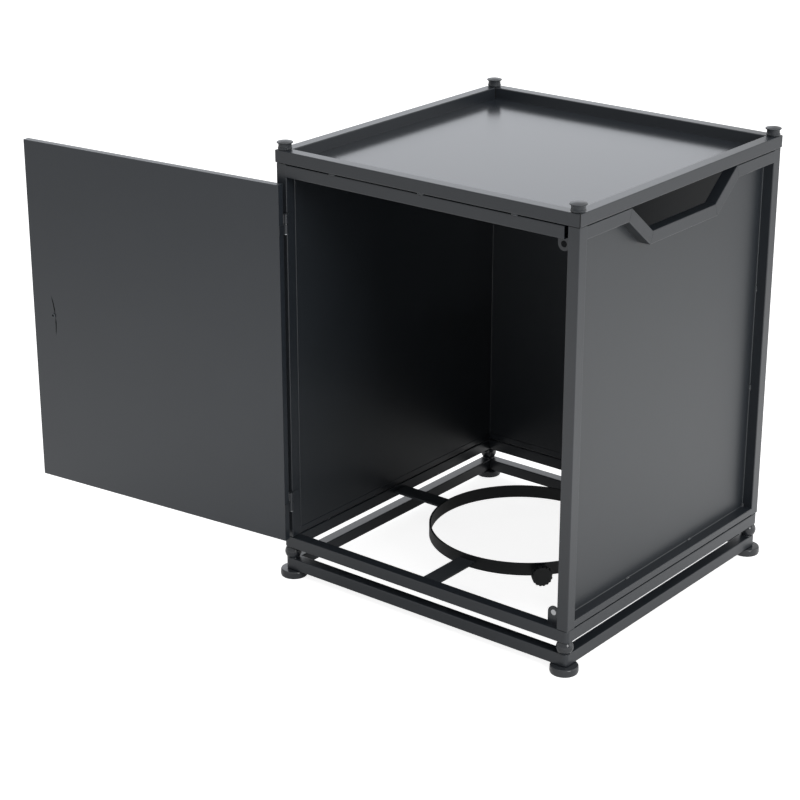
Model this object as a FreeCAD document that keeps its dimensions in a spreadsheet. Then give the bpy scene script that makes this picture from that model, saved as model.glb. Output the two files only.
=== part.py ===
"""Propane tank cover table: a square tube cabinet with a tray top, a door and a tank clamp.

Millimetres, +Z up, front towards -Y. The origin is the point on the floor under the cabinet's centre.
"""
import FreeCAD, Part
import math
import os

import Sketcher

doc = FreeCAD.newDocument("propane_tank_cover_table")

# Driving dimensions
SIZES = {
    # Square tube and sheet
    "tube_side": 16.0,
    "tube_wall": 1.2,
    "tube_edge": 1.2,
    "frame_wall": 2.0,
    "frame_corner": 5.5,
    "sheet_thickness": 1.2,
    # Cabinet
    "cabinet_width": 454.4,
    "cabinet_depth": 454.4,
    "post_height": 506.9,
    "post_end_gap": 0.8,
    "bottom_rail_height": 9.5,
    "seam_gap": 1.4,
    "front_rail_gap": 5.0,
    "dip_top_half": 119.0,
    "dip_floor_half": 71.0,
    "dip_drop": 38.6,
    # Tray
    "tray_overhang": 1.3,
    "tray_corner": 1.6,
    "thumb_base_diameter": 17.4,
    "thumb_base_height": 7.2,
    "thumb_cap_diameter": 20.8,
    "thumb_rim_height": 1.2,
    "thumb_dome_height": 3.1,
    "thumb_bore_gap": 0.5,
    "post_stud_diameter": 6.0,
    "post_stud_hole": 6.8,
    "post_stud_reach": 7.0,
    "post_plug_height": 12.0,
    "plug_lip_inset": 0.8,
    "thread_clearance": 0.05,
    # Weld beads
    "bead_length": 10.0,
    "bead_leg": 2.0,
    "bead_spacing": 137.0,
    "side_bead_spacing": 147.0,
    "seam_bead_depth": 5.0,
    # Base and plinth
    "plinth_gap": 16.0,
    "plinth_inset": 1.0,
    "ball_diameter": 22.0,
    "bolt_spacing": 300.0,
    "bolt_diameter": 6.0,
    "bolt_length": 10.0,
    "bolt_hole": 6.8,
    "bolt_head_diameter": 10.0,
    "bolt_head_height": 4.0,
    "bolt_access_hole": 11.0,
    "insert_flange_diameter": 12.0,
    "insert_body_diameter": 9.0,
    "insert_body_height": 6.5,
    # Levelling feet
    "glide_diameter": 36.0,
    "glide_height": 10.0,
    "glide_edge": 3.0,
    "glide_gap": 0.5,
    "glide_socket_depth": 7.0,
    "foot_stud_diameter": 8.0,
    "foot_stud_length": 21.0,
    "foot_stud_hole": 9.0,
    "foot_bush_diameter": 11.0,
    "foot_bush_height": 10.0,
    # Tank ring and its clamp
    "ring_diameter": 253.0,
    "ring_thickness": 2.5,
    "ring_height": 17.0,
    "strap_width": 25.0,
    "strap_thickness": 3.0,
    "clamp_bearing": -45.0,
    "clamp_diameter": 8.0,
    "clamp_hole": 9.0,
    "clamp_nut_flats": 13.0,
    "clamp_nut_height": 5.0,
    "clamp_travel": 9.0,
    "clamp_end_gap": 0.5,
    "clamp_tip_diameter": 10.0,
    "clamp_tip_height": 4.0,
    "clamp_tip_floor": 1.0,
    "clamp_pin_diameter": 5.0,
    "clamp_swivel_gap": 0.3,
    "clamp_shoulder_gap": 0.2,
    "clamp_knob_diameter": 26.6,
    "clamp_knob_height": 8.0,
    "clamp_screw_bite": 6.0,
    "knob_groove_diameter": 3.2,
    "knob_groove_depth": 0.9,
    # Door and hinges
    "door_side_gap": 2.0,
    "door_bottom_gap": 1.5,
    "door_top_gap": 6.0,
    "door_thickness": 10.0,
    "door_sheet": 1.0,
    "door_edge": 0.8,
    "door_open_angle": 174.3,
    "hinge_setback": 3.3,
    "hinge_inset": 52.3,
    "barrel_diameter": 6.0,
    "knuckle_height": 12.2,
    "knuckle_gap": 1.0,
    "leaf_thickness": 1.0,
    "leaf_depth": 14.0,
    "pin_diameter": 3.0,
    "pin_head_diameter": 5.0,
    "pin_head_height": 0.8,
    "pin_head_gap": 0.3,
    "pull_inset": 35.0,
    "pull_base_diameter": 16.0,
    "pull_diameter": 30.0,
    "pull_neck_height": 12.0,
    "pull_cap_height": 8.0,
    "pull_edge": 2.5,
    "pull_screw_diameter": 4.0,
    "pull_screw_depth": 10.0,
    "pull_head_diameter": 7.0,
    "pull_head_height": 1.0,
    # Door magnets
    "tab_inset": 11.7,
    "tab_radius": 8.3,
    "tab_drop": 9.0,
    "tab_rise": 15.3,
    "tab_thickness": 1.5,
    "tab_gap": 0.3,
    "magnet_diameter": 8.0,
    "magnet_height": 2.5,
}

sheet = doc.addObject("Spreadsheet::Sheet", "Sizes")
for row, (alias, size) in enumerate(SIZES.items(), 1):
    sheet.set(f"A{row}", alias)
    sheet.set(f"B{row}", str(size))
    sheet.setAlias(f"B{row}", alias)
doc.recompute()


def size(alias):
    """Name of a driving dimension, as an expression."""
    return "Sizes." + alias


def half(expression):
    """Half of a length."""
    return f"({expression}) / 2"


def minus(expression):
    """A length the other way."""
    return f"-({expression})"


def measured(expression):
    """Number that an expression gives now, used to start sketches near their final shape."""
    return float(sheet.evalExpression(expression))


# Outside half sizes, seen from above
cabinet_x = half(size("cabinet_width"))
cabinet_y = half(size("cabinet_depth"))
inner_x = f"({cabinet_x} - {size('tube_side')})"
inner_y = f"({cabinet_y} - {size('tube_side')})"
post_x = f"({cabinet_x} - {half(size('tube_side'))})"
post_y = f"({cabinet_y} - {half(size('tube_side'))})"
tray_x = f"({cabinet_x} + {size('tray_overhang')})"
tray_y = f"({cabinet_y} + {size('tray_overhang')})"
plinth_x = f"({cabinet_x} - {size('plinth_inset')})"
plinth_y = f"({cabinet_y} - {size('plinth_inset')})"
foot_x = f"({plinth_x} - {half(size('tube_side'))})"
foot_y = f"({plinth_y} - {half(size('tube_side'))})"

# Levels above the floor
plinth_bottom = f"({size('glide_height')} + {size('glide_gap')})"
plinth_top = f"({plinth_bottom} + {size('tube_side')})"
base_bottom = f"({plinth_top} + {size('plinth_gap')})"
base_top = f"({base_bottom} + {size('tube_side')})"
bottom_rail_level = f"({base_top} + {size('seam_gap')})"
panel_bottom = f"({bottom_rail_level} + {size('bottom_rail_height')})"
post_bottom = f"({base_top} + {size('post_end_gap')})"
post_top = f"({post_bottom} + {size('post_height')})"
tray_bottom = f"({post_top} + {size('post_end_gap')})"
tray_top = f"({tray_bottom} + {size('tube_side')})"
top_rail_top = f"({tray_bottom} - {size('seam_gap')})"
top_rail_level = f"({top_rail_top} - {size('tube_side')})"
ring_middle = f"({base_bottom} + {half(size('tube_side'))})"
door_bottom = f"({base_top} + {size('door_bottom_gap')})"
door_top = f"({top_rail_level} - {size('door_top_gap')})"

ALONG_X = FreeCAD.Vector(1, 0, 0)
ALONG_Y = FreeCAD.Vector(0, 1, 0)
ALONG_Z = FreeCAD.Vector(0, 0, 1)

# Largest difference between two numbers that are meant to be the same
NEARLY_ZERO = 1e-6

CORNERS = {
    "left_front": (-1, -1),
    "right_front": (1, -1),
    "left_back": (-1, 1),
    "right_back": (1, 1),
}


def signed(sign, expression):
    """The same length to the right or back (1), or to the left or front (-1)."""
    return f"{sign} * ({expression})"


def new_body(label):
    """A new solid piece."""
    body = doc.addObject("PartDesign::Body", label)
    body.Label = label
    return body


def group(label, members):
    """Several like solids that share one name."""
    compound = doc.addObject("Part::Compound", label)
    compound.Label = label
    compound.Links = members
    return compound


def place(piece, x="0", y="0", z="0"):
    """Hold a piece at a point."""
    for axis, distance in zip("xyz", (x, y, z)):
        piece.setExpression(".Placement.Base." + axis, distance)
    return piece


def turn(piece, angle):
    """Turn a piece about its own vertical axis."""
    start = FreeCAD.Rotation(ALONG_Z, measured(angle))
    piece.Placement = FreeCAD.Placement(FreeCAD.Vector(), start)
    piece.setExpression(".Placement.Rotation.Angle", angle)
    return piece


def origin_feature(body, role):
    """One of a body's own planes or axes."""
    for feature in body.Origin.OriginFeatures:
        if feature.Role == role:
            return feature
    raise ValueError(role)


def new_sketch(body, plane, offset="0"):
    """A sketch on one of the body's planes, moved along the plane's normal."""
    sketch = body.newObject("Sketcher::SketchObject", "Sketch")
    sketch.AttachmentSupport = [(origin_feature(body, plane), "")]
    sketch.MapMode = "FlatFace"
    sketch.setExpression("AttachmentOffset.Base.z", offset)
    return sketch


def hold_point(sketch, geometry, point, x, y):
    """Fix a point of the sketch at its distances from the sketch's origin."""
    for kind, distance in (("DistanceX", x), ("DistanceY", y)):
        if distance is None:
            continue
        number = sketch.addConstraint(Sketcher.Constraint(kind, -1, 1, geometry, point, measured(distance)))
        sketch.setExpression(f"Constraints[{number}]", distance)


def add_outline(sketch, corners, arcs=None):
    """Closed outline through its corners, counter-clockwise.

    arcs gives the centre of each side that is round: its x, its y and the one of them that is held.
    """
    arcs = arcs or {}
    points = [FreeCAD.Vector(measured(x), measured(y), 0) for x, y in corners]
    first = sketch.GeometryCount
    for side, start in enumerate(points):
        end = points[(side + 1) % len(points)]
        if side not in arcs:
            sketch.addGeometry(Part.LineSegment(start, end), False)
            continue
        centre = FreeCAD.Vector(measured(arcs[side][0]), measured(arcs[side][1]), 0)
        circle = Part.Circle(centre, ALONG_Z, (start - centre).Length)
        begin = math.atan2(start.y - centre.y, start.x - centre.x)
        finish = math.atan2(end.y - centre.y, end.x - centre.x)
        if finish <= begin:
            finish += 2 * math.pi
        sketch.addGeometry(Part.ArcOfCircle(circle, begin, finish), False)
    for side in range(len(points)):
        following = first + (side + 1) % len(points)
        sketch.addConstraint(Sketcher.Constraint("Coincident", first + side, 2, following, 1))
    for side, (x, y) in enumerate(corners):
        hold_point(sketch, first + side, 1, x, y)
    for side, (x, y, held) in arcs.items():
        hold_point(sketch, first + side, 3, x if held == "x" else None, y if held == "y" else None)


def add_rectangle(sketch, left, bottom, right, top):
    """Upright rectangle."""
    add_outline(sketch, [(left, bottom), (right, bottom), (right, top), (left, top)])


def add_circle(sketch, x, y, diameter):
    """Circle held by its centre and diameter."""
    centre = FreeCAD.Vector(measured(x), measured(y), 0)
    radius = measured(half(diameter))
    index = sketch.addGeometry(Part.Circle(centre, ALONG_Z, radius), False)
    hold_point(sketch, index, 3, x, y)
    number = sketch.addConstraint(Sketcher.Constraint("Diameter", index, 2 * radius))
    sketch.setExpression(f"Constraints[{number}]", diameter)


def add_pad(body, sketch, length, symmetric=False, reverse=False):
    """Material added along the sketch's normal."""
    pad = body.newObject("PartDesign::Pad", "Pad")
    pad.Profile = sketch
    pad.setExpression("Length", length)
    pad.Reversed = reverse
    if symmetric:
        pad.SideType = "Symmetric"
    return pad


def add_pocket(body, sketch, length=None, reverse=False):
    """Material cut against the sketch's normal, or both ways through everything."""
    pocket = body.newObject("PartDesign::Pocket", "Pocket")
    pocket.Profile = sketch
    pocket.Reversed = reverse
    if length is None:
        pocket.Type = "ThroughAll"
        pocket.SideType = "Symmetric"
    else:
        pocket.setExpression("Length", length)
    return pocket


def add_revolution(body, sketch):
    """Material turned about the body's vertical axis."""
    revolution = body.newObject("PartDesign::Revolution", "Revolution")
    revolution.Profile = sketch
    revolution.ReferenceAxis = (origin_feature(body, "Z_Axis"), [""])
    return revolution


def add_fillet(body, base, radius, wanted):
    """Rounded edges of a finished feature, those that the test wants."""
    doc.recompute()
    names = [f"Edge{number}" for number, edge in enumerate(base.Shape.Edges, 1) if wanted(edge)]
    fillet = body.newObject("PartDesign::Fillet", "Fillet")
    fillet.Base = (base, names)
    fillet.setExpression("Radius", radius)
    return fillet


def runs_along(edge, direction):
    """True for a straight edge that runs along a direction."""
    if edge.Curve.TypeId != "Part::GeomLine":
        return False
    return abs(abs(edge.tangentAt(edge.FirstParameter).dot(direction)) - 1) < NEARLY_ZERO


# Straight lengths of tube

def straight_tube(label, plane, direction, wide, high, length):
    """Closed-corner tube, its section centred on the plane's origin and its length one way."""
    body = new_body(label)
    section = new_sketch(body, plane)
    add_rectangle(section, minus(half(wide)), minus(half(high)), half(wide), half(high))
    bar = add_pad(body, section, length, symmetric=True)
    add_fillet(body, bar, size("tube_edge"), lambda edge: runs_along(edge, direction))
    bore = new_sketch(body, plane)
    bore_x = f"({half(wide)} - {size('tube_wall')})"
    bore_y = f"({half(high)} - {size('tube_wall')})"
    add_rectangle(bore, minus(bore_x), minus(bore_y), bore_x, bore_y)
    add_pocket(body, bore)
    return body


def drill(body, holes, diameter, level=None, depth=None, reverse=False):
    """Upright round holes."""
    sketch = new_sketch(body, "XY_Plane", level or "0")
    for x, y in holes:
        add_circle(sketch, x, y, diameter)
    add_pocket(body, sketch, depth, reverse)


# Mitred square frames

def mitre_zone(side, outer_x, outer_y):
    """Four corners that bound one side of a frame between its mitres."""
    far_x = f"({outer_x} + {size('tube_side')})"
    far_y = f"({outer_y} + {size('tube_side')})"
    near_x = f"({outer_x} - 2 * {size('tube_side')})"
    near_y = f"({outer_y} - 2 * {size('tube_side')})"
    zones = {
        "front": [(-1, -1, True), (1, -1, True), (1, -1, False), (-1, -1, False)],
        "right": [(1, -1, True), (1, 1, True), (1, 1, False), (1, -1, False)],
        "back": [(1, 1, True), (-1, 1, True), (-1, 1, False), (1, 1, False)],
        "left": [(-1, 1, True), (-1, -1, True), (-1, -1, False), (-1, 1, False)],
    }
    corners = []
    for sign_x, sign_y, is_far in zones[side]:
        x = far_x if is_far else near_x
        y = far_y if is_far else near_y
        corners.append((signed(sign_x, x), signed(sign_y, y)))
    return corners


def frame_tube(label, side, outer_x, outer_y, wall, corner):
    """One mitred side of a square frame that lies flat, with its underside at zero."""
    body = new_body(label)
    tube = size("tube_side")
    plan = new_sketch(body, "XY_Plane")
    add_rectangle(plan, minus(outer_x), minus(outer_y), outer_x, outer_y)
    plate = add_pad(body, plan, tube)
    add_fillet(body, plate, corner, lambda edge: runs_along(edge, ALONG_Z))
    opening = new_sketch(body, "XY_Plane")
    opening_x = f"({outer_x} - {tube})"
    opening_y = f"({outer_y} - {tube})"
    add_rectangle(opening, minus(opening_x), minus(opening_y), opening_x, opening_y)
    hoop = add_pocket(body, opening)
    add_fillet(body, hoop, size("tube_edge"), lambda edge: not runs_along(edge, ALONG_Z))
    waste = new_sketch(body, "XY_Plane")
    waste_x = f"({outer_x} + 3 * {tube})"
    waste_y = f"({outer_y} + 3 * {tube})"
    add_rectangle(waste, minus(waste_x), minus(waste_y), waste_x, waste_y)
    add_outline(waste, mitre_zone(side, outer_x, outer_y))
    add_pocket(body, waste)
    lengthwise = side in ("front", "back")
    bore = new_sketch(body, "YZ_Plane" if lengthwise else "XZ_Plane")
    sign = -1 if side in ("front", "left") else 1
    centre = signed(sign, f"{outer_y if lengthwise else outer_x} - {half(tube)}")
    reach = f"({half(tube)} - {wall})"
    add_rectangle(bore, f"{centre} - {reach}", wall, f"{centre} + {reach}", f"{tube} - {wall}")
    add_pocket(body, bore)
    return body


SIDES = ("front", "back", "left", "right")


def corner_points(side, x, y):
    """The two corner points that one side of a frame shares."""
    shared = {
        "front": [(-1, -1), (1, -1)],
        "back": [(-1, 1), (1, 1)],
        "left": [(-1, -1), (-1, 1)],
        "right": [(1, -1), (1, 1)],
    }
    return [(signed(sign_x, x), signed(sign_y, y)) for sign_x, sign_y in shared[side]]


# Plinth frame, with a hole under each corner for a levelling foot
for side in SIDES:
    tube = frame_tube(f"plinth_{side}_tube", side, plinth_x, plinth_y,
                      size("frame_wall"), size("frame_corner"))
    drill(tube, corner_points(side, foot_x, foot_y), size("foot_stud_hole"),
          depth=f"2 * {size('frame_wall')}", reverse=True)
    place(tube, z=plinth_bottom)

# Base frame, with holes for the bolts that hold the side frames
for side in SIDES:
    tube = frame_tube(f"base_{side}_tube", side, cabinet_x, cabinet_y,
                      size("frame_wall"), size("frame_corner"))
    if side in ("left", "right"):
        across = signed(-1 if side == "left" else 1, post_x)
        bolts = [(across, signed(end, half(size("bolt_spacing")))) for end in (-1, 1)]
        drill(tube, bolts, size("bolt_access_hole"), depth=f"2 * {size('frame_wall')}", reverse=True)
        drill(tube, bolts, size("bolt_hole"), level=size("tube_side"), depth=f"2 * {size('frame_wall')}")
    place(tube, z=base_bottom)

# Balls welded between the plinth and the base, flat where they meet the tubes
ball_x = f"({post_x} - {half(size('plinth_inset'))})"
ball_y = f"({post_y} - {half(size('plinth_inset'))})"
balls = []
for name, (sign_x, sign_y) in CORNERS.items():
    ball = doc.addObject("Part::Sphere", name + "_ball")
    ball.setExpression("Radius", half(size("ball_diameter")))
    ball.setExpression("Angle1", f"-asin({size('plinth_gap')} / {size('ball_diameter')})")
    ball.setExpression("Angle2", f"asin({size('plinth_gap')} / {size('ball_diameter')})")
    place(ball, signed(sign_x, ball_x), signed(sign_y, ball_y), f"{plinth_top} + {half(size('plinth_gap'))}")
    balls.append(ball)
group("spacer_balls", balls)


# Levelling feet

def foot_glide(label):
    """Moulded disc with a rounded top edge and a socket for its stud."""
    body = new_body(label)
    profile = new_sketch(body, "XZ_Plane")
    radius = half(size("glide_diameter"))
    high = size("glide_height")
    socket = f"({half(size('foot_stud_diameter'))} + {size('thread_clearance')})"
    socket_floor = f"({high} - {size('glide_socket_depth')})"
    corners = [
        ("0", "0"),
        (radius, "0"),
        (radius, f"{high} - {size('glide_edge')}"),
        (f"{radius} - {size('glide_edge')}", high),
        (socket, high),
        (socket, socket_floor),
        ("0", socket_floor),
    ]
    centre = (f"{radius} - {size('glide_edge')}", f"{high} - {size('glide_edge')}", "x")
    add_outline(profile, corners, {2: centre})
    add_revolution(body, profile)
    return body


def rod(label, diameter, length):
    """Plain round bar standing on its own origin."""
    body = new_body(label)
    profile = new_sketch(body, "XY_Plane")
    add_circle(profile, "0", "0", diameter)
    add_pad(body, profile, length)
    return body


def bush(label, outer, inner, height):
    """Plain round bush standing on its own origin."""
    body = new_body(label)
    profile = new_sketch(body, "XY_Plane")
    add_circle(profile, "0", "0", outer)
    add_circle(profile, "0", "0", inner)
    add_pad(body, profile, height)
    return body


foot_thread = f"({size('foot_stud_diameter')} + 2 * {size('thread_clearance')})"
foot_bushes = []
for name, (sign_x, sign_y) in CORNERS.items():
    across = signed(sign_x, foot_x)
    along = signed(sign_y, foot_y)
    place(foot_glide(name + "_foot_glide"), across, along)
    stud = rod(name + "_foot_stud", size("foot_stud_diameter"), size("foot_stud_length"))
    place(stud, across, along, f"{size('glide_height')} - {size('glide_socket_depth')}")
    foot_bush = bush(name + "_foot_bush", size("foot_bush_diameter"), foot_thread, size("foot_bush_height"))
    place(foot_bush, across, along, f"{plinth_bottom} + {size('frame_wall')}")
    foot_bushes.append(foot_bush)
group("foot_bushes", foot_bushes)

# Posts
for name, (sign_x, sign_y) in CORNERS.items():
    post = straight_tube(name + "_post", "XY_Plane", ALONG_Z, size("tube_side"), size("tube_side"),
                         size("post_height"))
    post_middle = f"{post_bottom} + {half(size('post_height'))}"
    place(post, signed(sign_x, post_x), signed(sign_y, post_y), post_middle)


def end_plug(label, is_top):
    """Square plug in a post's end, with a lip that keeps the post clear of the frame beyond it.

    The plug in the top also holds the stud that the tray is clamped with.
    """
    body = new_body(label)
    block = new_sketch(body, "XY_Plane")
    reach = f"({half(size('tube_side'))} - {size('tube_wall')} - {size('thread_clearance')})"
    add_rectangle(block, minus(reach), minus(reach), reach, reach)
    add_pad(body, block, size("post_plug_height"), reverse=is_top)
    lip = new_sketch(body, "XY_Plane")
    lip_reach = f"({half(size('tube_side'))} - {size('plug_lip_inset')})"
    add_rectangle(lip, minus(lip_reach), minus(lip_reach), lip_reach, lip_reach)
    add_pad(body, lip, size("post_end_gap"), reverse=not is_top)
    if is_top:
        shank = new_sketch(body, "XY_Plane")
        add_circle(shank, "0", "0", size("post_stud_diameter"))
        add_pad(body, shank, f"{size('post_end_gap')} + {size('tube_side')} + {size('post_stud_reach')}")
    return body


plugs = []
for name, (sign_x, sign_y) in CORNERS.items():
    for end, level in (("lower", post_bottom), ("upper", post_top)):
        plug = end_plug(f"{name}_{end}_plug", end == "upper")
        place(plug, signed(sign_x, post_x), signed(sign_y, post_y), level)
        plugs.append(plug)
group("post_end_plugs", plugs)

# Tray frame, with a hole at each corner for the stud
for side in SIDES:
    tube = frame_tube(f"tray_{side}_tube", side, tray_x, tray_y, size("tube_wall"), size("tray_corner"))
    drill(tube, corner_points(side, post_x, post_y), size("post_stud_hole"))
    place(tube, z=tray_bottom)

# Tray floor, level with the underside of the tray's tubes
tray_panel = new_body("tray_panel")
outline = new_sketch(tray_panel, "XY_Plane")
floor_x = f"({tray_x} - {size('tube_side')})"
floor_y = f"({tray_y} - {size('tube_side')})"
add_rectangle(outline, minus(floor_x), minus(floor_y), floor_x, floor_y)
add_pad(tray_panel, outline, size("sheet_thickness"))
place(tray_panel, z=tray_bottom)

# Mushroom-headed nuts on the tray's corners
thumb_nuts = []
for name, (sign_x, sign_y) in CORNERS.items():
    nut = new_body(name + "_thumb_nut")
    profile = new_sketch(nut, "XZ_Plane")
    bore = f"({half(size('post_stud_diameter'))} + {size('thread_clearance')})"
    bore_top = f"({size('post_stud_reach')} + {size('thumb_bore_gap')})"
    rim_top = f"({size('thumb_base_height')} + {size('thumb_rim_height')})"
    cap_radius = half(size("thumb_cap_diameter"))
    dome = size("thumb_dome_height")
    dome_radius = f"(({cap_radius}) ^ 2 + {dome} ^ 2) / (2 * {dome})"
    corners = [
        (bore, "0"),
        (half(size("thumb_base_diameter")), "0"),
        (half(size("thumb_base_diameter")), size("thumb_base_height")),
        (cap_radius, size("thumb_base_height")),
        (cap_radius, rim_top),
        ("0", f"{rim_top} + {dome}"),
        ("0", bore_top),
        (bore, bore_top),
    ]
    add_outline(profile, corners, {4: ("0", f"{rim_top} + {dome} - {dome_radius}", "x")})
    add_revolution(nut, profile)
    place(nut, signed(sign_x, post_x), signed(sign_y, post_y), tray_top)
    thumb_nuts.append(nut)
group("corner_thumb_nuts", thumb_nuts)

# Front rail under the tray, short of the right post
opening_width = f"(2 * {inner_x})"
front_rail = straight_tube("front_rail", "YZ_Plane", ALONG_X, size("tube_side"), size("tube_side"),
                           f"{opening_width} - {size('front_rail_gap')}")
top_rail_middle = f"({top_rail_top} - {half(size('tube_side'))})"
place(front_rail, minus(half(size("front_rail_gap"))), minus(post_y), top_rail_middle)

# Back rails
back_top_rail = straight_tube("back_top_rail", "YZ_Plane", ALONG_X, size("tube_side"), size("tube_side"),
                              opening_width)
place(back_top_rail, "0", post_y, top_rail_middle)
bottom_rail_middle = f"{bottom_rail_level} + {half(size('bottom_rail_height'))}"
back_bottom_rail = straight_tube("back_bottom_rail", "YZ_Plane", ALONG_X, size("tube_side"),
                                 size("bottom_rail_height"), opening_width)
place(back_bottom_rail, "0", post_y, bottom_rail_middle)

# Side bottom rails, each with two holes for its threaded inserts
insert_hole = f"({size('insert_body_diameter')} + 2 * {size('thread_clearance')})"
for name, sign in (("left", -1), ("right", 1)):
    rail = straight_tube(name + "_bottom_rail", "XZ_Plane", ALONG_Y, size("tube_side"),
                         size("bottom_rail_height"), f"2 * {inner_y}")
    ends = [("0", signed(end, half(size("bolt_spacing")))) for end in (-1, 1)]
    drill(rail, ends, insert_hole, level=minus(half(size("bottom_rail_height"))),
          depth=f"2 * {size('tube_wall')}", reverse=True)
    place(rail, signed(sign, post_x), "0", bottom_rail_middle)

# Bolts through the base tubes, with their heads inside the tubes, and the inserts that they screw into
bolts = []
inserts = []
for name, (sign_x, sign_y) in CORNERS.items():
    across = signed(sign_x, post_x)
    along = signed(sign_y, half(size("bolt_spacing")))
    bolt = new_body(name + "_frame_bolt")
    head = new_sketch(bolt, "XY_Plane")
    add_circle(head, "0", "0", size("bolt_head_diameter"))
    add_pad(bolt, head, size("bolt_head_height"), reverse=True)
    shank = new_sketch(bolt, "XY_Plane")
    add_circle(shank, "0", "0", size("bolt_diameter"))
    add_pad(bolt, shank, size("bolt_length"))
    place(bolt, across, along, f"{base_top} - {size('frame_wall')}")
    bolts.append(bolt)
    insert = new_body(name + "_rail_insert")
    flange = new_sketch(insert, "XY_Plane")
    bolt_thread = f"({size('bolt_diameter')} + 2 * {size('thread_clearance')})"
    add_circle(flange, "0", "0", size("insert_flange_diameter"))
    add_circle(flange, "0", "0", bolt_thread)
    add_pad(insert, flange, size("seam_gap"))
    sleeve = new_sketch(insert, "XY_Plane")
    add_circle(sleeve, "0", "0", size("insert_body_diameter"))
    add_circle(sleeve, "0", "0", bolt_thread)
    add_pad(insert, sleeve, f"{size('seam_gap')} + {size('insert_body_height')}")
    place(insert, across, along, base_top)
    inserts.append(insert)
group("side_frame_bolts", bolts)
group("bottom_rail_inserts", inserts)

# Handle rails: five mitred lengths of tube each, with a dip in the middle
dip_run = f"({size('dip_top_half')} - {size('dip_floor_half')})"
dip_slope = f"sqrt({dip_run} ^ 2 + {size('dip_drop')} ^ 2)"
mitre_lean = f"({size('tube_side')} * ({dip_slope} - {dip_run}) / {size('dip_drop')})"
RAIL_STATIONS = [
    (minus(inner_y), "0", 0),
    (minus(size("dip_top_half")), "0", -1),
    (minus(size("dip_floor_half")), minus(size("dip_drop")), -1),
    (size("dip_floor_half"), minus(size("dip_drop")), 1),
    (size("dip_top_half"), "0", 1),
    (inner_y, "0", 0),
]


# Share of its length by which a bore is cut past each end of the tube
BORE_OVERRUN = 0.1


def station_point(station, depth):
    """Point on a mitre line at a depth below the rail's top."""
    y, z, lean = station
    return f"{y} + {lean} * {mitre_lean} * {depth} / {size('tube_side')}", f"{z} - {depth}"


def past(near, far):
    """Point a little past the near one, on the line from the far one."""
    return tuple(f"{here} + ({here} - ({there})) * {BORE_OVERRUN}" for here, there in zip(near, far))


def mitred_length(label, start, end):
    """One length of the handle rail between two mitre lines."""
    body = new_body(label)
    tube = size("tube_side")
    wall = size("tube_wall")
    side_view = new_sketch(body, "YZ_Plane")
    add_outline(side_view, [station_point(start, tube), station_point(end, tube),
                            station_point(end, "0"), station_point(start, "0")])
    bar = add_pad(body, side_view, tube, symmetric=True)
    run, climb = (measured(there) - measured(here) for here, there in zip(start[:2], end[:2]))
    direction = FreeCAD.Vector(0, run, climb).normalize()
    add_fillet(body, bar, size("tube_edge"), lambda edge: runs_along(edge, direction))
    bore = new_sketch(body, "YZ_Plane", minus(f"{half(tube)} - {wall}"))
    low = f"({tube} - {wall})"
    low_start, low_end = station_point(start, low), station_point(end, low)
    high_start, high_end = station_point(start, wall), station_point(end, wall)
    add_outline(bore, [past(low_start, low_end), past(low_end, low_start),
                       past(high_end, high_start), past(high_start, high_end)])
    add_pocket(body, bore, f"{tube} - 2 * {wall}", reverse=True)
    return body


for name, sign in (("left", -1), ("right", 1)):
    lengths = []
    for number, start in enumerate(RAIL_STATIONS[:-1]):
        lengths.append(mitred_length(f"{name}_handle_length_{number + 1}", start, RAIL_STATIONS[number + 1]))
    place(group(name + "_handle_rail", lengths), signed(sign, post_x), "0", top_rail_top)

# Side sheets, level with the inner faces of the tubes and cut to follow the handle's dip
panel_height = f"({top_rail_level} - {panel_bottom})"
dip_height = f"({panel_height} - {size('dip_drop')})"
dip_outer = f"({size('dip_top_half')} + {mitre_lean})"
dip_inner = f"({size('dip_floor_half')} + {mitre_lean})"
for name, sign in (("left", -1), ("right", 1)):
    panel = new_body(name + "_side_panel")
    outline = new_sketch(panel, "YZ_Plane")
    add_outline(outline, [
        (minus(inner_y), "0"),
        (inner_y, "0"),
        (inner_y, panel_height),
        (dip_outer, panel_height),
        (dip_inner, dip_height),
        (minus(dip_inner), dip_height),
        (minus(dip_outer), panel_height),
        (minus(inner_y), panel_height),
    ])
    add_pad(panel, outline, size("sheet_thickness"), reverse=sign < 0)
    place(panel, signed(sign, inner_x), "0", panel_bottom)

# Back sheet
back_panel = new_body("back_panel")
outline = new_sketch(back_panel, "XZ_Plane")
add_rectangle(outline, minus(inner_x), "0", inner_x, panel_height)
add_pad(back_panel, outline, size("sheet_thickness"), reverse=True)
place(back_panel, "0", inner_y, panel_bottom)


# Tack welds

def corner_bead(label, plane, corners):
    """Short weld in an inside corner, a triangle in section."""
    body = new_body(label)
    section = new_sketch(body, plane)
    add_outline(section, corners)
    add_pad(body, section, size("bead_length"), symmetric=True)
    return body


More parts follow.
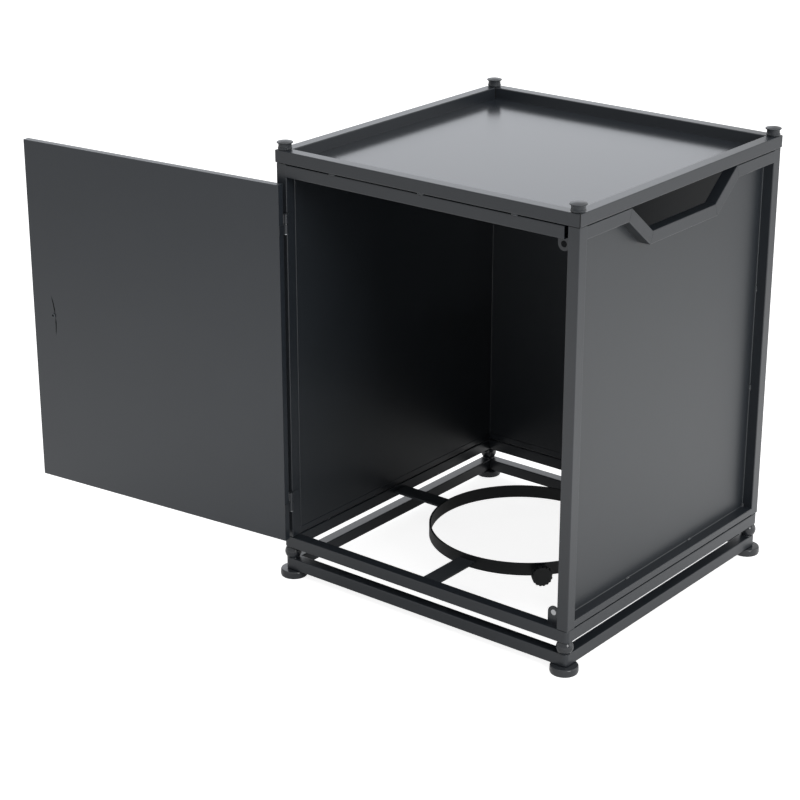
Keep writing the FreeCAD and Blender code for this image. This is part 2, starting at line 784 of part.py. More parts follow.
leg = size("bead_leg")
sheet_outside_x = f"({inner_x} + {size('sheet_thickness')})"
sheet_outside_y = f"({inner_y} + {size('sheet_thickness')})"
beads = []
for name, sign in (("left", -1), ("right", 1)):
    for step in (-1, 1):
        corners = [("0", "0"), (leg, "0"), ("0", leg)]
        if sign < 0:
            corners = [("0", "0"), ("0", leg), (minus(leg), "0")]
        bead = corner_bead(f"{name}_low_bead_{step + 2}", "XZ_Plane", corners)
        along = signed(step, half(size("side_bead_spacing")))
        place(bead, signed(sign, sheet_outside_x), along, panel_bottom)
        beads.append(bead)
    for end in (-1, 1):
        for step in (-1, 1):
            corners = [("0", "0"), (signed(sign, leg), "0"), ("0", signed(-end, leg))]
            if sign * -end < 0:
                corners = [corners[0], corners[2], corners[1]]
            bead = corner_bead(f"{name}_post_bead_{len(beads)}", "XY_Plane", corners)
            place(bead, signed(sign, sheet_outside_x), signed(end, inner_y),
                  f"{panel_bottom} + {half(panel_height)} + {step} * {half(size('bead_spacing'))}")
            beads.append(bead)
for step in (-1, 0, 1):
    bead = corner_bead(f"back_low_bead_{step + 2}", "YZ_Plane", [("0", "0"), (leg, "0"), ("0", leg)])
    place(bead, signed(step, size("bead_spacing")), sheet_outside_y, panel_bottom)
    beads.append(bead)
for step in (-1, 0, 1):
    bead = new_body(f"front_seam_bead_{step + 2}")
    section = new_sketch(bead, "XY_Plane")
    reach = half(size("bead_length"))
    depth = half(size("seam_bead_depth"))
    add_rectangle(section, minus(reach), minus(depth), reach, depth)
    add_pad(bead, section, size("seam_gap"))
    seam_y = f"-{cabinet_y} + {size('tube_edge')} + {depth}"
    place(bead, signed(step, size("bead_spacing")), seam_y, top_rail_top)
    beads.append(bead)
group("tack_welds", beads)

# Tank ring, with a hole for the clamp screw
ring = new_body("tank_ring")
band = new_sketch(ring, "XY_Plane")
add_circle(band, "0", "0", size("ring_diameter"))
add_circle(band, "0", "0", f"{size('ring_diameter')} - 2 * {size('ring_thickness')}")
add_pad(ring, band, size("ring_height"), symmetric=True)
screw_hole = new_sketch(ring, "YZ_Plane")
add_circle(screw_hole, "0", "0", size("clamp_hole"))
add_pocket(ring, screw_hole, size("ring_diameter"), reverse=True)
turn(ring, size("clamp_bearing"))
place(ring, z=ring_middle)

# Flat straps from the base frame to the ring, cut round where they meet it
ring_radius = half(size("ring_diameter"))
strap_root = f"({ring_radius} - {size('ring_thickness')})"
strap_half = half(size("strap_width"))
STRAPS = {
    "front": (minus(strap_half), minus(inner_y), strap_half, minus(strap_root)),
    "back": (minus(strap_half), strap_root, strap_half, inner_y),
    "left": (minus(inner_x), minus(strap_half), minus(strap_root), strap_half),
    "right": (strap_root, minus(strap_half), inner_x, strap_half),
}
for side, (left, near, right, far) in STRAPS.items():
    strap = new_body(side + "_strap")
    plan = new_sketch(strap, "XY_Plane")
    add_rectangle(plan, left, near, right, far)
    add_pad(strap, plan, size("strap_thickness"), symmetric=True)
    cope = new_sketch(strap, "XY_Plane")
    add_circle(cope, "0", "0", size("ring_diameter"))
    add_pocket(strap, cope)
    place(strap, z=ring_middle)

# Clamp: local +X points outwards along the screw
nut_face = f"({ring_radius} + {size('clamp_nut_height')})"
clamp_nut = new_body("clamp_nut")
hexagon = new_sketch(clamp_nut, "YZ_Plane", f"{ring_radius} - {size('ring_thickness')}")
across_corners = f"{size('clamp_nut_flats')} / (2 * cos(30))"
add_outline(hexagon, [(f"{across_corners} * cos({60 * step})", f"{across_corners} * sin({60 * step})")
                      for step in range(6)])
add_pad(clamp_nut, hexagon, f"{size('ring_thickness')} + {size('clamp_nut_height')}")
cope = new_sketch(clamp_nut, "XY_Plane")
add_circle(cope, "0", "0", size("ring_diameter"))
add_pocket(clamp_nut, cope)
thread = new_sketch(clamp_nut, "YZ_Plane")
clamp_thread = f"({size('clamp_diameter')} + 2 * {size('thread_clearance')})"
add_circle(thread, "0", "0", clamp_thread)
add_pocket(clamp_nut, thread)
turn(clamp_nut, size("clamp_bearing"))
place(clamp_nut, z=ring_middle)

tip_outer = f"({ring_radius} - {size('ring_thickness')} - {size('clamp_end_gap')})"
tip_inner = f"({tip_outer} - {size('clamp_tip_height')})"
tip_floor = f"({tip_inner} + {size('clamp_tip_floor')})"
clamp_tip = new_body("clamp_tip")
disc = new_sketch(clamp_tip, "YZ_Plane", tip_inner)
add_circle(disc, "0", "0", size("clamp_tip_diameter"))
add_pad(clamp_tip, disc, size("clamp_tip_height"))
socket = new_sketch(clamp_tip, "YZ_Plane", tip_floor)
add_circle(socket, "0", "0", f"{size('clamp_pin_diameter')} + 2 * {size('thread_clearance')}")
add_pocket(clamp_tip, socket, size("clamp_tip_height"), reverse=True)
turn(clamp_tip, size("clamp_bearing"))
place(clamp_tip, z=ring_middle)

knob_inner = f"({nut_face} + {size('clamp_travel')} + {size('clamp_end_gap')})"
screw_inner = f"({tip_outer} + {size('clamp_shoulder_gap')})"
screw_outer = f"({knob_inner} + {size('clamp_screw_bite')})"
clamp_screw = new_body("clamp_screw")
shank = new_sketch(clamp_screw, "YZ_Plane", screw_inner)
add_circle(shank, "0", "0", size("clamp_diameter"))
add_pad(clamp_screw, shank, f"{screw_outer} - {screw_inner}")
pin_inner = f"({tip_floor} + {size('clamp_swivel_gap')})"
swivel_pin = new_sketch(clamp_screw, "YZ_Plane", pin_inner)
add_circle(swivel_pin, "0", "0", size("clamp_pin_diameter"))
add_pad(clamp_screw, swivel_pin, f"{screw_outer} - {pin_inner}")
turn(clamp_screw, size("clamp_bearing"))
place(clamp_screw, z=ring_middle)

KNOB_GROOVE_COUNT = 16
clamp_knob = new_body("clamp_knob")
disc = new_sketch(clamp_knob, "YZ_Plane", knob_inner)
add_circle(disc, "0", "0", size("clamp_knob_diameter"))
add_pad(clamp_knob, disc, size("clamp_knob_height"))
bore = new_sketch(clamp_knob, "YZ_Plane", knob_inner)
add_circle(bore, "0", "0", clamp_thread)
add_pocket(clamp_knob, bore, f"{size('clamp_screw_bite')} + {size('thread_clearance')}", reverse=True)
groove = new_sketch(clamp_knob, "YZ_Plane", knob_inner)
groove_centre = f"{half(size('clamp_knob_diameter'))} + {half(size('knob_groove_diameter'))}"
add_circle(groove, f"{groove_centre} - {size('knob_groove_depth')}", "0", size("knob_groove_diameter"))
flute = add_pocket(clamp_knob, groove, size("clamp_knob_height"), reverse=True)
flutes = clamp_knob.newObject("PartDesign::PolarPattern", "Flutes")
flutes.Originals = [flute]
flutes.Axis = (origin_feature(clamp_knob, "X_Axis"), [""])
flutes.Angle = 360
flutes.Occurrences = KNOB_GROOVE_COUNT
clamp_knob.Tip = flutes
turn(clamp_knob, size("clamp_bearing"))
place(clamp_knob, z=ring_middle)

# Hinges: the axis stands in front of the gap between the left post and the closed door
hinge_x = f"(-{inner_x} + {half(size('door_side_gap'))})"
hinge_y = f"(-{cabinet_y} - {size('hinge_setback')})"
knuckle_pitch = f"({size('knuckle_height')} + {size('knuckle_gap')})"
knuckle_drop = f"({half(knuckle_pitch)} + {half(size('knuckle_height'))})"
HINGES = {
    "lower": f"({door_bottom} + {size('hinge_inset')} - {knuckle_drop})",
    "upper": f"({door_top} - {size('hinge_inset')} - {knuckle_drop})",
}


def knuckle(label, leaf_left, leaf_right, bore_diameter):
    """Round barrel with a flat leaf, standing on its own origin at the hinge axis."""
    body = new_body(label)
    barrel = new_sketch(body, "XY_Plane")
    add_circle(barrel, "0", "0", size("barrel_diameter"))
    add_pad(body, barrel, size("knuckle_height"))
    leaf = new_sketch(body, "XY_Plane")
    root = f"({size('pin_diameter')} + {size('barrel_diameter')}) / 4"
    add_rectangle(leaf, leaf_left, root, leaf_right, size("leaf_depth"))
    add_pad(body, leaf, size("knuckle_height"))
    bore = new_sketch(body, "XY_Plane")
    add_circle(bore, "0", "0", bore_diameter)
    add_pocket(body, bore)
    return body


door_leaf_right = half(size("door_side_gap"))
door_leaf_left = f"({door_leaf_right} - {size('leaf_thickness')})"
running_bore = f"({size('pin_diameter')} + 2 * {size('thread_clearance')})"
door_knuckles = []
post_knuckles = []
pins = []
for name, level in HINGES.items():
    moving = knuckle(name + "_door_knuckle", door_leaf_left, door_leaf_right, running_bore)
    place(moving, z=level)
    door_knuckles.append(moving)
    fixed = knuckle(name + "_post_knuckle", minus(door_leaf_right), minus(door_leaf_left),
                    size("pin_diameter"))
    place(fixed, hinge_x, hinge_y, f"{level} + {knuckle_pitch}")
    post_knuckles.append(fixed)
    pin = new_body(name + "_hinge_pin")
    head = new_sketch(pin, "XY_Plane")
    add_circle(head, "0", "0", size("pin_head_diameter"))
    add_pad(pin, head, size("pin_head_height"), reverse=True)
    shank = new_sketch(pin, "XY_Plane")
    add_circle(shank, "0", "0", size("pin_diameter"))
    add_pad(pin, shank, f"{size('pin_head_gap')} + {knuckle_pitch} + {size('knuckle_height')}")
    place(pin, hinge_x, hinge_y, f"{level} - {size('pin_head_gap')}")
    pins.append(pin)
group("post_hinge_knuckles", post_knuckles)
group("hinge_pins", pins)


# Door: drawn closed about the hinge axis, then swung open

def hang(piece):
    """Put a piece of the door on the hinge axis, swung to its open place."""
    turn(piece, minus(size("door_open_angle")))
    place(piece, hinge_x, hinge_y)


hang(group("door_hinge_knuckles", door_knuckles))

door_near = half(size("door_side_gap"))
door_far = f"({door_near} + 2 * {inner_x} - 2 * {size('door_side_gap')})"
outer_face = size("hinge_setback")
inner_face = f"({size('hinge_setback')} + {size('door_thickness')})"
skin_face = f"({inner_face} - {size('door_sheet')})"

door_outer_pan = new_body("door_outer_pan")
outline = new_sketch(door_outer_pan, "XZ_Plane", minus(outer_face))
add_rectangle(outline, door_near, door_bottom, door_far, door_top)
slab = add_pad(door_outer_pan, outline, f"{size('door_thickness')} - {size('door_sheet')}", reverse=True)
front_level = measured(outer_face)
add_fillet(door_outer_pan, slab, size("door_edge"),
           lambda edge: abs(edge.CenterOfMass.y - front_level) < NEARLY_ZERO)
hollow = new_sketch(door_outer_pan, "XZ_Plane", minus(f"{outer_face} + {size('door_sheet')}"))
fold = size("door_sheet")
add_rectangle(hollow, f"{door_near} + {fold}", f"{door_bottom} + {fold}",
              f"{door_far} - {fold}", f"{door_top} - {fold}")
add_pocket(door_outer_pan, hollow, size("door_thickness"))

door_inner_skin = new_body("door_inner_skin")
outline = new_sketch(door_inner_skin, "XZ_Plane", minus(skin_face))
add_rectangle(outline, door_near, door_bottom, door_far, door_top)
add_pad(door_inner_skin, outline, size("door_sheet"), reverse=True)

# Pull on the outer face, held by one screw from inside
pull_x = f"({door_far} - {size('pull_inset')})"
pull_z = half(f"{door_bottom} + {door_top}")
pull_hole = f"({size('pull_screw_diameter')} + 2 * {size('thread_clearance')})"
for shell in (door_outer_pan, door_inner_skin):
    hole = new_sketch(shell, "XZ_Plane")
    add_circle(hole, pull_x, pull_z, pull_hole)
    add_pocket(shell, hole)

door_pull = new_body("door_pull")
neck = new_sketch(door_pull, "XZ_Plane", minus(outer_face))
add_circle(neck, pull_x, pull_z, size("pull_base_diameter"))
add_pad(door_pull, neck, size("pull_neck_height"))
cap = new_sketch(door_pull, "XZ_Plane", f"{size('pull_neck_height')} - {outer_face}")
add_circle(cap, pull_x, pull_z, size("pull_diameter"))
head = add_pad(door_pull, cap, size("pull_cap_height"))
rim_radius = measured(half(size("pull_diameter")))
add_fillet(door_pull, head, size("pull_edge"),
           lambda edge: edge.Curve.TypeId == "Part::GeomCircle"
           and abs(edge.Curve.Radius - rim_radius) < NEARLY_ZERO)
bore = new_sketch(door_pull, "XZ_Plane", minus(outer_face))
add_circle(bore, pull_x, pull_z, pull_hole)
add_pocket(door_pull, bore, f"{size('pull_screw_depth')} + {size('thread_clearance')}", reverse=True)

door_pull_screw = new_body("door_pull_screw")
head = new_sketch(door_pull_screw, "XZ_Plane", minus(inner_face))
add_circle(head, pull_x, pull_z, size("pull_head_diameter"))
add_pad(door_pull_screw, head, size("pull_head_height"), reverse=True)
shank = new_sketch(door_pull_screw, "XZ_Plane", minus(inner_face))
add_circle(shank, pull_x, pull_z, size("pull_screw_diameter"))
add_pad(door_pull_screw, shank, f"{size('door_thickness')} + {size('pull_screw_depth')}")

for piece in (door_outer_pan, door_inner_skin, door_pull, door_pull_screw):
    hang(piece)

# Magnet tabs behind the closed door's free edge: one hangs from the front rail, one stands on the base
tab_x = f"({inner_x} - {size('tab_inset')})"
tab_front = f"(-{cabinet_y} + {size('door_thickness')} + {size('tab_gap')})"
tab_radius = size("tab_radius")
magnet_hole = f"({size('magnet_diameter')} + 2 * {size('thread_clearance')})"

upper_tab_level = f"({top_rail_level} - {size('tab_drop')})"
lower_tab_level = f"({base_top} + {size('tab_rise')})"

upper_tab = new_body("upper_magnet_tab")
outline = new_sketch(upper_tab, "XZ_Plane")
add_outline(outline,
            [(minus(tab_radius), "0"), (tab_radius, "0"), (tab_radius, size("tab_drop")),
             (minus(tab_radius), size("tab_drop"))],
            {0: ("0", "0", "y")})
add_circle(outline, "0", "0", magnet_hole)
add_pad(upper_tab, outline, size("tab_thickness"), reverse=True)
place(upper_tab, tab_x, tab_front, upper_tab_level)

lower_tab = new_body("lower_magnet_tab")
outline = new_sketch(lower_tab, "XZ_Plane")
add_outline(outline,
            [(tab_radius, "0"), (minus(tab_radius), "0"), (minus(tab_radius), minus(size("tab_rise"))),
             (tab_radius, minus(size("tab_rise")))],
            {0: ("0", "0", "y")})
add_circle(outline, "0", "0", magnet_hole)
add_pad(lower_tab, outline, size("tab_thickness"), reverse=True)
place(lower_tab, tab_x, tab_front, lower_tab_level)
group("magnet_tabs", [upper_tab, lower_tab])

magnets = []
for name, level in (("upper", upper_tab_level), ("lower", lower_tab_level)):
    magnet = new_body(name + "_magnet")
    face = new_sketch(magnet, "XZ_Plane")
    add_circle(face, "0", "0", size("magnet_diameter"))
    add_pad(magnet, face, size("magnet_height"), reverse=True)
    place(magnet, tab_x, tab_front, level)
    magnets.append(magnet)
group("door_magnets", magnets)

doc.recompute()

# Every object has to be whole before anything is written
for piece in doc.Objects:
    for state in piece.State:
        if state in ("Invalid", "Error"):
            raise RuntimeError(f"{piece.Label} failed")

grouped = set()
for piece in doc.Objects:
    if piece.TypeId == "Part::Compound":
        grouped.update(member.Name for member in piece.Links)

os.makedirs("parts", exist_ok=True)
written = 0
for piece in doc.Objects:
    if piece.TypeId not in ("PartDesign::Body", "Part::Compound") or piece.Name in grouped:
        continue
    shape = piece.Shape
    if shape.isNull() or not shape.isValid() or not shape.Solids:
        raise RuntimeError(f"{piece.Label} has no valid solid")
    shape.exportStep(f"parts/{piece.Label}.step")
    written += 1
    box = shape.BoundBox
    print(f"{piece.Label}: {len(shape.Solids)} solids, {shape.Volume:.0f} mm3,"
          f" x {box.XMin:.1f}..{box.XMax:.1f}"
          f" y {box.YMin:.1f}..{box.YMax:.1f}"
          f" z {box.ZMin:.1f}..{box.ZMax:.1f}")
print(f"{written} pieces")
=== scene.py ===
"""Propane tank cover table: the finish of every piece, in metres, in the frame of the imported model.

The sections follow the table as it is put together, from the feet up to the tray and the door.
"""

import math

import bmesh
import bpy
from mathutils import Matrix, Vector


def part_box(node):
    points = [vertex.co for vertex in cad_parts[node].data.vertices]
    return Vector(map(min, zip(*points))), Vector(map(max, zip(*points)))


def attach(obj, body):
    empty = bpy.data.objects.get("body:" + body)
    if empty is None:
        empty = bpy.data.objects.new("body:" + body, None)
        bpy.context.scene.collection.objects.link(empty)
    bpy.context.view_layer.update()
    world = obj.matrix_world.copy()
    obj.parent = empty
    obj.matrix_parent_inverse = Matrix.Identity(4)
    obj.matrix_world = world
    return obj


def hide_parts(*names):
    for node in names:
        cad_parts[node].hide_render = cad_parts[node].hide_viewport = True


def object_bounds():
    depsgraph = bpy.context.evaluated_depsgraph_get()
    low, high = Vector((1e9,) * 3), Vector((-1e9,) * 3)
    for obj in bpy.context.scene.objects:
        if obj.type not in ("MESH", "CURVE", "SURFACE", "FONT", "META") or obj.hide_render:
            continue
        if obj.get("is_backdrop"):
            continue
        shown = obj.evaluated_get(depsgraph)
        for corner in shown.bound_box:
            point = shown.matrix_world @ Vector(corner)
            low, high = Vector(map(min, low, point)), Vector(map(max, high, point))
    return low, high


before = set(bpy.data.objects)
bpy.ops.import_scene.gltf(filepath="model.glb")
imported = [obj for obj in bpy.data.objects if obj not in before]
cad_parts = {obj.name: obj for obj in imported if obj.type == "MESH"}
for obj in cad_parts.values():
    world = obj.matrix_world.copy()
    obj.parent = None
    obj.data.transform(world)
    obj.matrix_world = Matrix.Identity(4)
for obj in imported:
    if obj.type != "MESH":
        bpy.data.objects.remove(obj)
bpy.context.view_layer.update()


# Levelling feet
# Each foot is an injection moulded nylon glide on a zinc plated threaded stud, screwed up into the
# plinth. The glide has a fine spark-eroded mould texture and a polished satin shine; the stud is
# bright metal and shows as a short neck between the glide and the plinth.

MM = 0.001
CORNERS = {"left_front": (-1, -1), "right_front": (1, -1), "left_back": (-1, 1), "right_back": (1, 1)}
MIX_FIRST, MIX_SECOND, MIXED = 6, 7, 2  # a colour Mix node's two inputs and its output, by number


def linear(hex_colour):
    """Linear RGBA of an sRGB hex colour such as #3a3d40."""
    channels = [int(hex_colour[start:start + 2], 16) / 255 for start in (1, 3, 5)]
    toe, slope, offset, power = 0.04045, 12.92, 0.055, 2.4
    bent = [c / slope if c <= toe else ((c + offset) / (1 + offset)) ** power for c in channels]
    return (*bent, 1.0)


def add_node(tree, kind, settings=None):
    """A node with its settings and links.

    A key is the name of a property, or the name or number of an input. An input takes a value, or
    another node's output, which is linked to it.
    """
    node = tree.nodes.new(kind)
    for key, value in (settings or {}).items():
        if isinstance(key, str) and hasattr(node, key):
            setattr(node, key, value)
        elif isinstance(value, bpy.types.NodeSocket):
            tree.links.new(value, node.inputs[key])
        else:
            node.inputs[key].default_value = value
    return node


def new_finish(name):
    """A material with an empty tree, and that tree."""
    material = bpy.data.materials.new(name)
    material.use_nodes = True
    material.node_tree.nodes.clear()
    return material, material.node_tree


def per_metre(millimetres):
    """Scale of a texture whose grain is a real size in millimetres."""
    return 1 / (millimetres * MM)


def dress(material, *nodes):
    """Give CAD nodes their finish."""
    for node in nodes:
        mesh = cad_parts[node].data
        mesh.materials.clear()
        mesh.materials.append(material)


def moulded_nylon(name, dark, light, grain_mm, roughness, shine=0.5):
    """Moulded black nylon: a satin sheen, faint flow marks and a spark-eroded grain.

    The real grain is about 0.1 mm, and is drawn coarser so that it shows. shine is the specular level.
    """
    flow_mm, sheen_spread, relief_mm = 9, 0.04, 0.05
    material, tree = new_finish(name)
    place = add_node(tree, "ShaderNodeTexCoord").outputs["Object"]
    flow = add_node(tree, "ShaderNodeTexNoise", {
        "Scale": per_metre(flow_mm), "Detail": 3.0, "Vector": place})
    grain = add_node(tree, "ShaderNodeTexNoise", {
        "Scale": per_metre(grain_mm), "Detail": 2.0, "Vector": place})
    tint = add_node(tree, "ShaderNodeMix", {
        "data_type": "RGBA", 0: flow.outputs[0], MIX_FIRST: linear(dark), MIX_SECOND: linear(light)})
    sheen = add_node(tree, "ShaderNodeMapRange", {
        "Value": grain.outputs[0], "To Min": roughness - sheen_spread, "To Max": roughness + sheen_spread})
    relief = add_node(tree, "ShaderNodeBump", {
        "Strength": 0.15, "Distance": relief_mm * MM, "Height": grain.outputs[0]})
    shader = add_node(tree, "ShaderNodeBsdfPrincipled", {
        "Base Color": tint.outputs[MIXED], "Roughness": sheen.outputs[0], "Normal": relief.outputs[0],
        "IOR": 1.53, "Specular IOR Level": shine})
    add_node(tree, "ShaderNodeOutputMaterial", {"Surface": shader.outputs[0]})
    return material


def plated_steel(name, base, dull):
    """Plated steel: clear passivated metal, faintly clouded, with a grain drawn coarse enough to show."""
    cloud_mm, grain_mm, relief_mm = 4, 0.7, 0.03
    material, tree = new_finish(name)
    place = add_node(tree, "ShaderNodeTexCoord").outputs["Object"]
    cloud = add_node(tree, "ShaderNodeTexNoise", {
        "Scale": per_metre(cloud_mm), "Detail": 4.0, "Vector": place})
    grain = add_node(tree, "ShaderNodeTexNoise", {
        "Scale": per_metre(grain_mm), "Detail": 1.0, "Vector": place})
    tint = add_node(tree, "ShaderNodeMix", {
        "data_type": "RGBA", 0: cloud.outputs[0], MIX_FIRST: linear(base), MIX_SECOND: linear(dull)})
    polish = add_node(tree, "ShaderNodeMapRange", {
        "Value": cloud.outputs[0], "To Min": 0.26, "To Max": 0.42})
    relief = add_node(tree, "ShaderNodeBump", {
        "Strength": 0.15, "Distance": relief_mm * MM, "Height": grain.outputs[0]})
    shader = add_node(tree, "ShaderNodeBsdfPrincipled", {
        "Base Color": tint.outputs[MIXED], "Metallic": 1.0, "Roughness": polish.outputs[0],
        "Normal": relief.outputs[0]})
    add_node(tree, "ShaderNodeOutputMaterial", {"Surface": shader.outputs[0]})
    return material


def rounded_outline(corners):
    """Points of an outline whose corners (across, up, radius) are rounded by arcs."""
    steps = 5
    points = []
    for index, (across, up, radius) in enumerate(corners):
        here = Vector((across, up))
        if not radius:
            points.append(here)
            continue
        back = (Vector(corners[index - 1][:2]) - here).normalized()
        ahead = (Vector(corners[(index + 1) % len(corners)][:2]) - here).normalized()
        half_turn = back.angle(ahead) / 2
        centre = here + (back + ahead).normalized() * radius / math.sin(half_turn)
        run = radius / math.tan(half_turn)
        first, last = here + back * run - centre, here + ahead * run - centre
        begin = math.atan2(first.y, first.x)
        sweep = (math.atan2(last.y, last.x) - begin + math.pi) % math.tau - math.pi
        for step in range(steps + 1):
            angle = begin + sweep * step / steps
            points.append(centre + radius * Vector((math.cos(angle), math.sin(angle))))
    return points


def lathe(shape, outline, foot):
    """Turn an outline of radii and heights, in millimetres, round the upright line above foot.

    A point on that line is one point and not a ring, so a face that meets it has three corners.
    """
    segments = 72
    rings = []
    for radius, height in outline:
        turns = [math.tau * index / segments for index in range(segments if radius > 0 else 1)]
        points = [(radius * math.cos(turn), radius * math.sin(turn), height) for turn in turns]
        rings.append([shape.verts.new(Vector(foot) + MM * Vector(point)) for point in points])
    for lower, upper in zip(rings, rings[1:]):
        for index in range(segments):
            after = index + 1
            loop = (lower[index % len(lower)], lower[after % len(lower)],
                    upper[after % len(upper)], upper[index % len(upper)])
            shape.faces.new(list(dict.fromkeys(loop)))


def new_piece(name, shape, finish, body, slot, *stands_for):
    """Add an object of a finished shape, on the body that carries it, in place of any nodes named."""
    merge_distance = 0.0001 * MM
    smooth_angle = math.radians(35)
    bmesh.ops.remove_doubles(shape, verts=shape.verts, dist=merge_distance)
    bmesh.ops.recalc_face_normals(shape, faces=shape.faces)
    mesh = bpy.data.meshes.new(name)
    shape.to_mesh(mesh)
    shape.free()
    mesh.shade_smooth()
    mesh.set_sharp_from_angle(angle=smooth_angle)
    mesh.materials.append(finish)
    piece = bpy.data.objects.new(name, mesh)
    bpy.context.scene.collection.objects.link(piece)
    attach(piece, body)
    if stands_for:
        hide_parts(*stands_for)


glide_nylon = moulded_nylon("moulded_black_nylon", "#282b2f", "#2f3236", grain_mm=0.6, roughness=0.13)
zinc = plated_steel("zinc_plated_steel", "#b9bcc0", "#9a9da1")

STUD_RADIUS = 4.0
SOCKET_FLOOR = 3.0
SOCKET_BEVEL = 0.6
SOLE_INSET = 0.7
FLANK_BOTTOM, FLANK_TOP = 2.2, 4.6
SHOULDER_INSET = 0.3

for corner in CORNERS:
    low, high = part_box(corner + "_foot_glide")
    rim = (high[0] - low[0]) / 2 / MM
    top = (high[2] - low[2]) / MM
    outline = rounded_outline([
        (0, 0, 0), (rim - SOLE_INSET, 0, 0.8), (rim, FLANK_BOTTOM, 0.8), (rim, FLANK_TOP, 0.5),
        (rim - SHOULDER_INSET, top, 2.0), (STUD_RADIUS + SOCKET_BEVEL, top, 0.3),
        (STUD_RADIUS, top - SOCKET_BEVEL, 0), (STUD_RADIUS, SOCKET_FLOOR, 0), (0, SOCKET_FLOOR, 0)])
    shape = bmesh.new()
    lathe(shape, outline, ((low[0] + high[0]) / 2, (low[1] + high[1]) / 2, low[2]))
    new_piece(corner + "_foot_moulding", shape, glide_nylon, corner + "_foot", "moulded_nylon",
              corner + "_foot_glide")
    dress(zinc, corner + "_foot_stud")
dress(zinc, "foot_bushes")


# Plinth frame
# Four lengths of 16 mm square steel tube, mitred, welded and ground flush at their rounded corners.
# They are powder coated a charcoal grey: sprayed and baked, so the coat is even and satin, with a
# fine orange-peel skin that softens what it reflects. A lighter line is painted along sharp edges as a
# highlight.

def powder_coat(name, dark, light, roughness, peel_mm=1.6, joint_mm=0.0, shine=0.5):
    """Baked satin powder coat on steel, cloudy and flecked, with an orange peel of a given width, and a
    highlight painted along sharp edges.

    joint_mm is the width of a dark line of painted shade that stands for an open mitre on the table's
    diagonals, and shine the specular level. The flecks are far finer on the real coat, and are drawn
    coarser so that they show.
    """
    cloud_mm, fleck_mm, edge_mm, relief_mm = 70, 0.9, 0.6, 0.04
    sheen_spread = 0.02
    # the first colour is a highlight painted along sharp edges, the second is shade painted into an open
    # mitre
    edge_highlight_colour, mitre_shade_colour = "#3c4043", "#060606"
    material, tree = new_finish(name)
    place = add_node(tree, "ShaderNodeTexCoord").outputs["Object"]
    cloud = add_node(tree, "ShaderNodeTexNoise", {
        "Scale": per_metre(cloud_mm), "Detail": 3.0, "Vector": place})
    peel = add_node(tree, "ShaderNodeTexNoise", {
        "Scale": per_metre(peel_mm), "Detail": 2.0, "Vector": place})
    fleck = add_node(tree, "ShaderNodeTexVoronoi", {"Scale": per_metre(fleck_mm), "Vector": place})
    tint = add_node(tree, "ShaderNodeMix", {
        "data_type": "RGBA", 0: cloud.outputs[0], MIX_FIRST: linear(dark), MIX_SECOND: linear(light)})
    speck = add_node(tree, "ShaderNodeMapRange", {
        "Value": fleck.outputs["Distance"], "From Max": 0.9, "To Min": 1.12, "To Max": 0.94})
    coat = add_node(tree, "ShaderNodeVectorMath", {
        "operation": "SCALE", 0: tint.outputs[MIXED], "Scale": speck.outputs[0]})
    # A lighter colour is painted where the shading normal turns at a sharp edge: a painted highlight.
    rounded = add_node(tree, "ShaderNodeBevel", {"samples": 4, "Radius": edge_mm * MM})
    true_normal = add_node(tree, "ShaderNodeNewGeometry").outputs["Normal"]
    turned = add_node(tree, "ShaderNodeVectorMath", {
        "operation": "DOT_PRODUCT", 0: rounded.outputs[0], 1: true_normal})
    edge = add_node(tree, "ShaderNodeMapRange", {
        "Value": turned.outputs["Value"], "From Min": 1.0, "From Max": 0.75})
    edge_highlight = add_node(tree, "ShaderNodeMix", {
        "data_type": "RGBA", 0: edge.outputs[0], MIX_FIRST: coat.outputs[0],
        MIX_SECOND: linear(edge_highlight_colour)})
    colour = edge_highlight.outputs[MIXED]
    sheen = add_node(tree, "ShaderNodeMapRange", {
        "Value": peel.outputs[0], "To Min": roughness - sheen_spread, "To Max": roughness + sheen_spread})
    dullness = sheen.outputs[0]
    # An open mitre is not in the shape: its shade is painted on the diagonals as a dark, dull line.
    if joint_mm:
        parts = add_node(tree, "ShaderNodeSeparateXYZ", {0: place})
        spans = [add_node(tree, "ShaderNodeMath", {"operation": "ABSOLUTE", 0: parts.outputs[axis]})
                 for axis in ("X", "Y")]
        apart = add_node(tree, "ShaderNodeMath", {
            "operation": "SUBTRACT", 0: spans[0].outputs[0], 1: spans[1].outputs[0]})
        gap = add_node(tree, "ShaderNodeMath", {"operation": "ABSOLUTE", 0: apart.outputs[0]})
        joint = add_node(tree, "ShaderNodeMath", {
            "operation": "LESS_THAN", 0: gap.outputs[0], 1: joint_mm / 2 * MM})
        mitre_shade = add_node(tree, "ShaderNodeMix", {
            "data_type": "RGBA", 0: joint.outputs[0], MIX_FIRST: colour, MIX_SECOND: linear(mitre_shade_colour)})
        colour = mitre_shade.outputs[MIXED]
        dull = add_node(tree, "ShaderNodeMath", {
            "operation": "MAXIMUM", 0: dullness, 1: joint.outputs[0]})
        dullness = dull.outputs[0]
    relief = add_node(tree, "ShaderNodeBump", {
        "Strength": 0.05, "Distance": relief_mm * MM, "Height": peel.outputs[0]})
    shader = add_node(tree, "ShaderNodeBsdfPrincipled", {
        "Base Color": colour, "Roughness": dullness, "Normal": relief.outputs[0],
        "IOR": 1.5, "Specular IOR Level": shine})
    add_node(tree, "ShaderNodeOutputMaterial", {"Surface": shader.outputs[0]})
    return material


SIDES = ("front", "back", "left", "right")
tube_coat = powder_coat("charcoal_powder_coat_tube", "#24282d", "#292d32", roughness=0.30)
dress(tube_coat, *(f"plinth_{side}_tube" for side in SIDES))


# Spacer balls
# Four steel balls, pressed flat and welded between plinth and base, then coated with them. The coat
# pools a little on the round, so the balls are glossier than the tubes, and a thin weld rings each
# flat where it meets the frames.

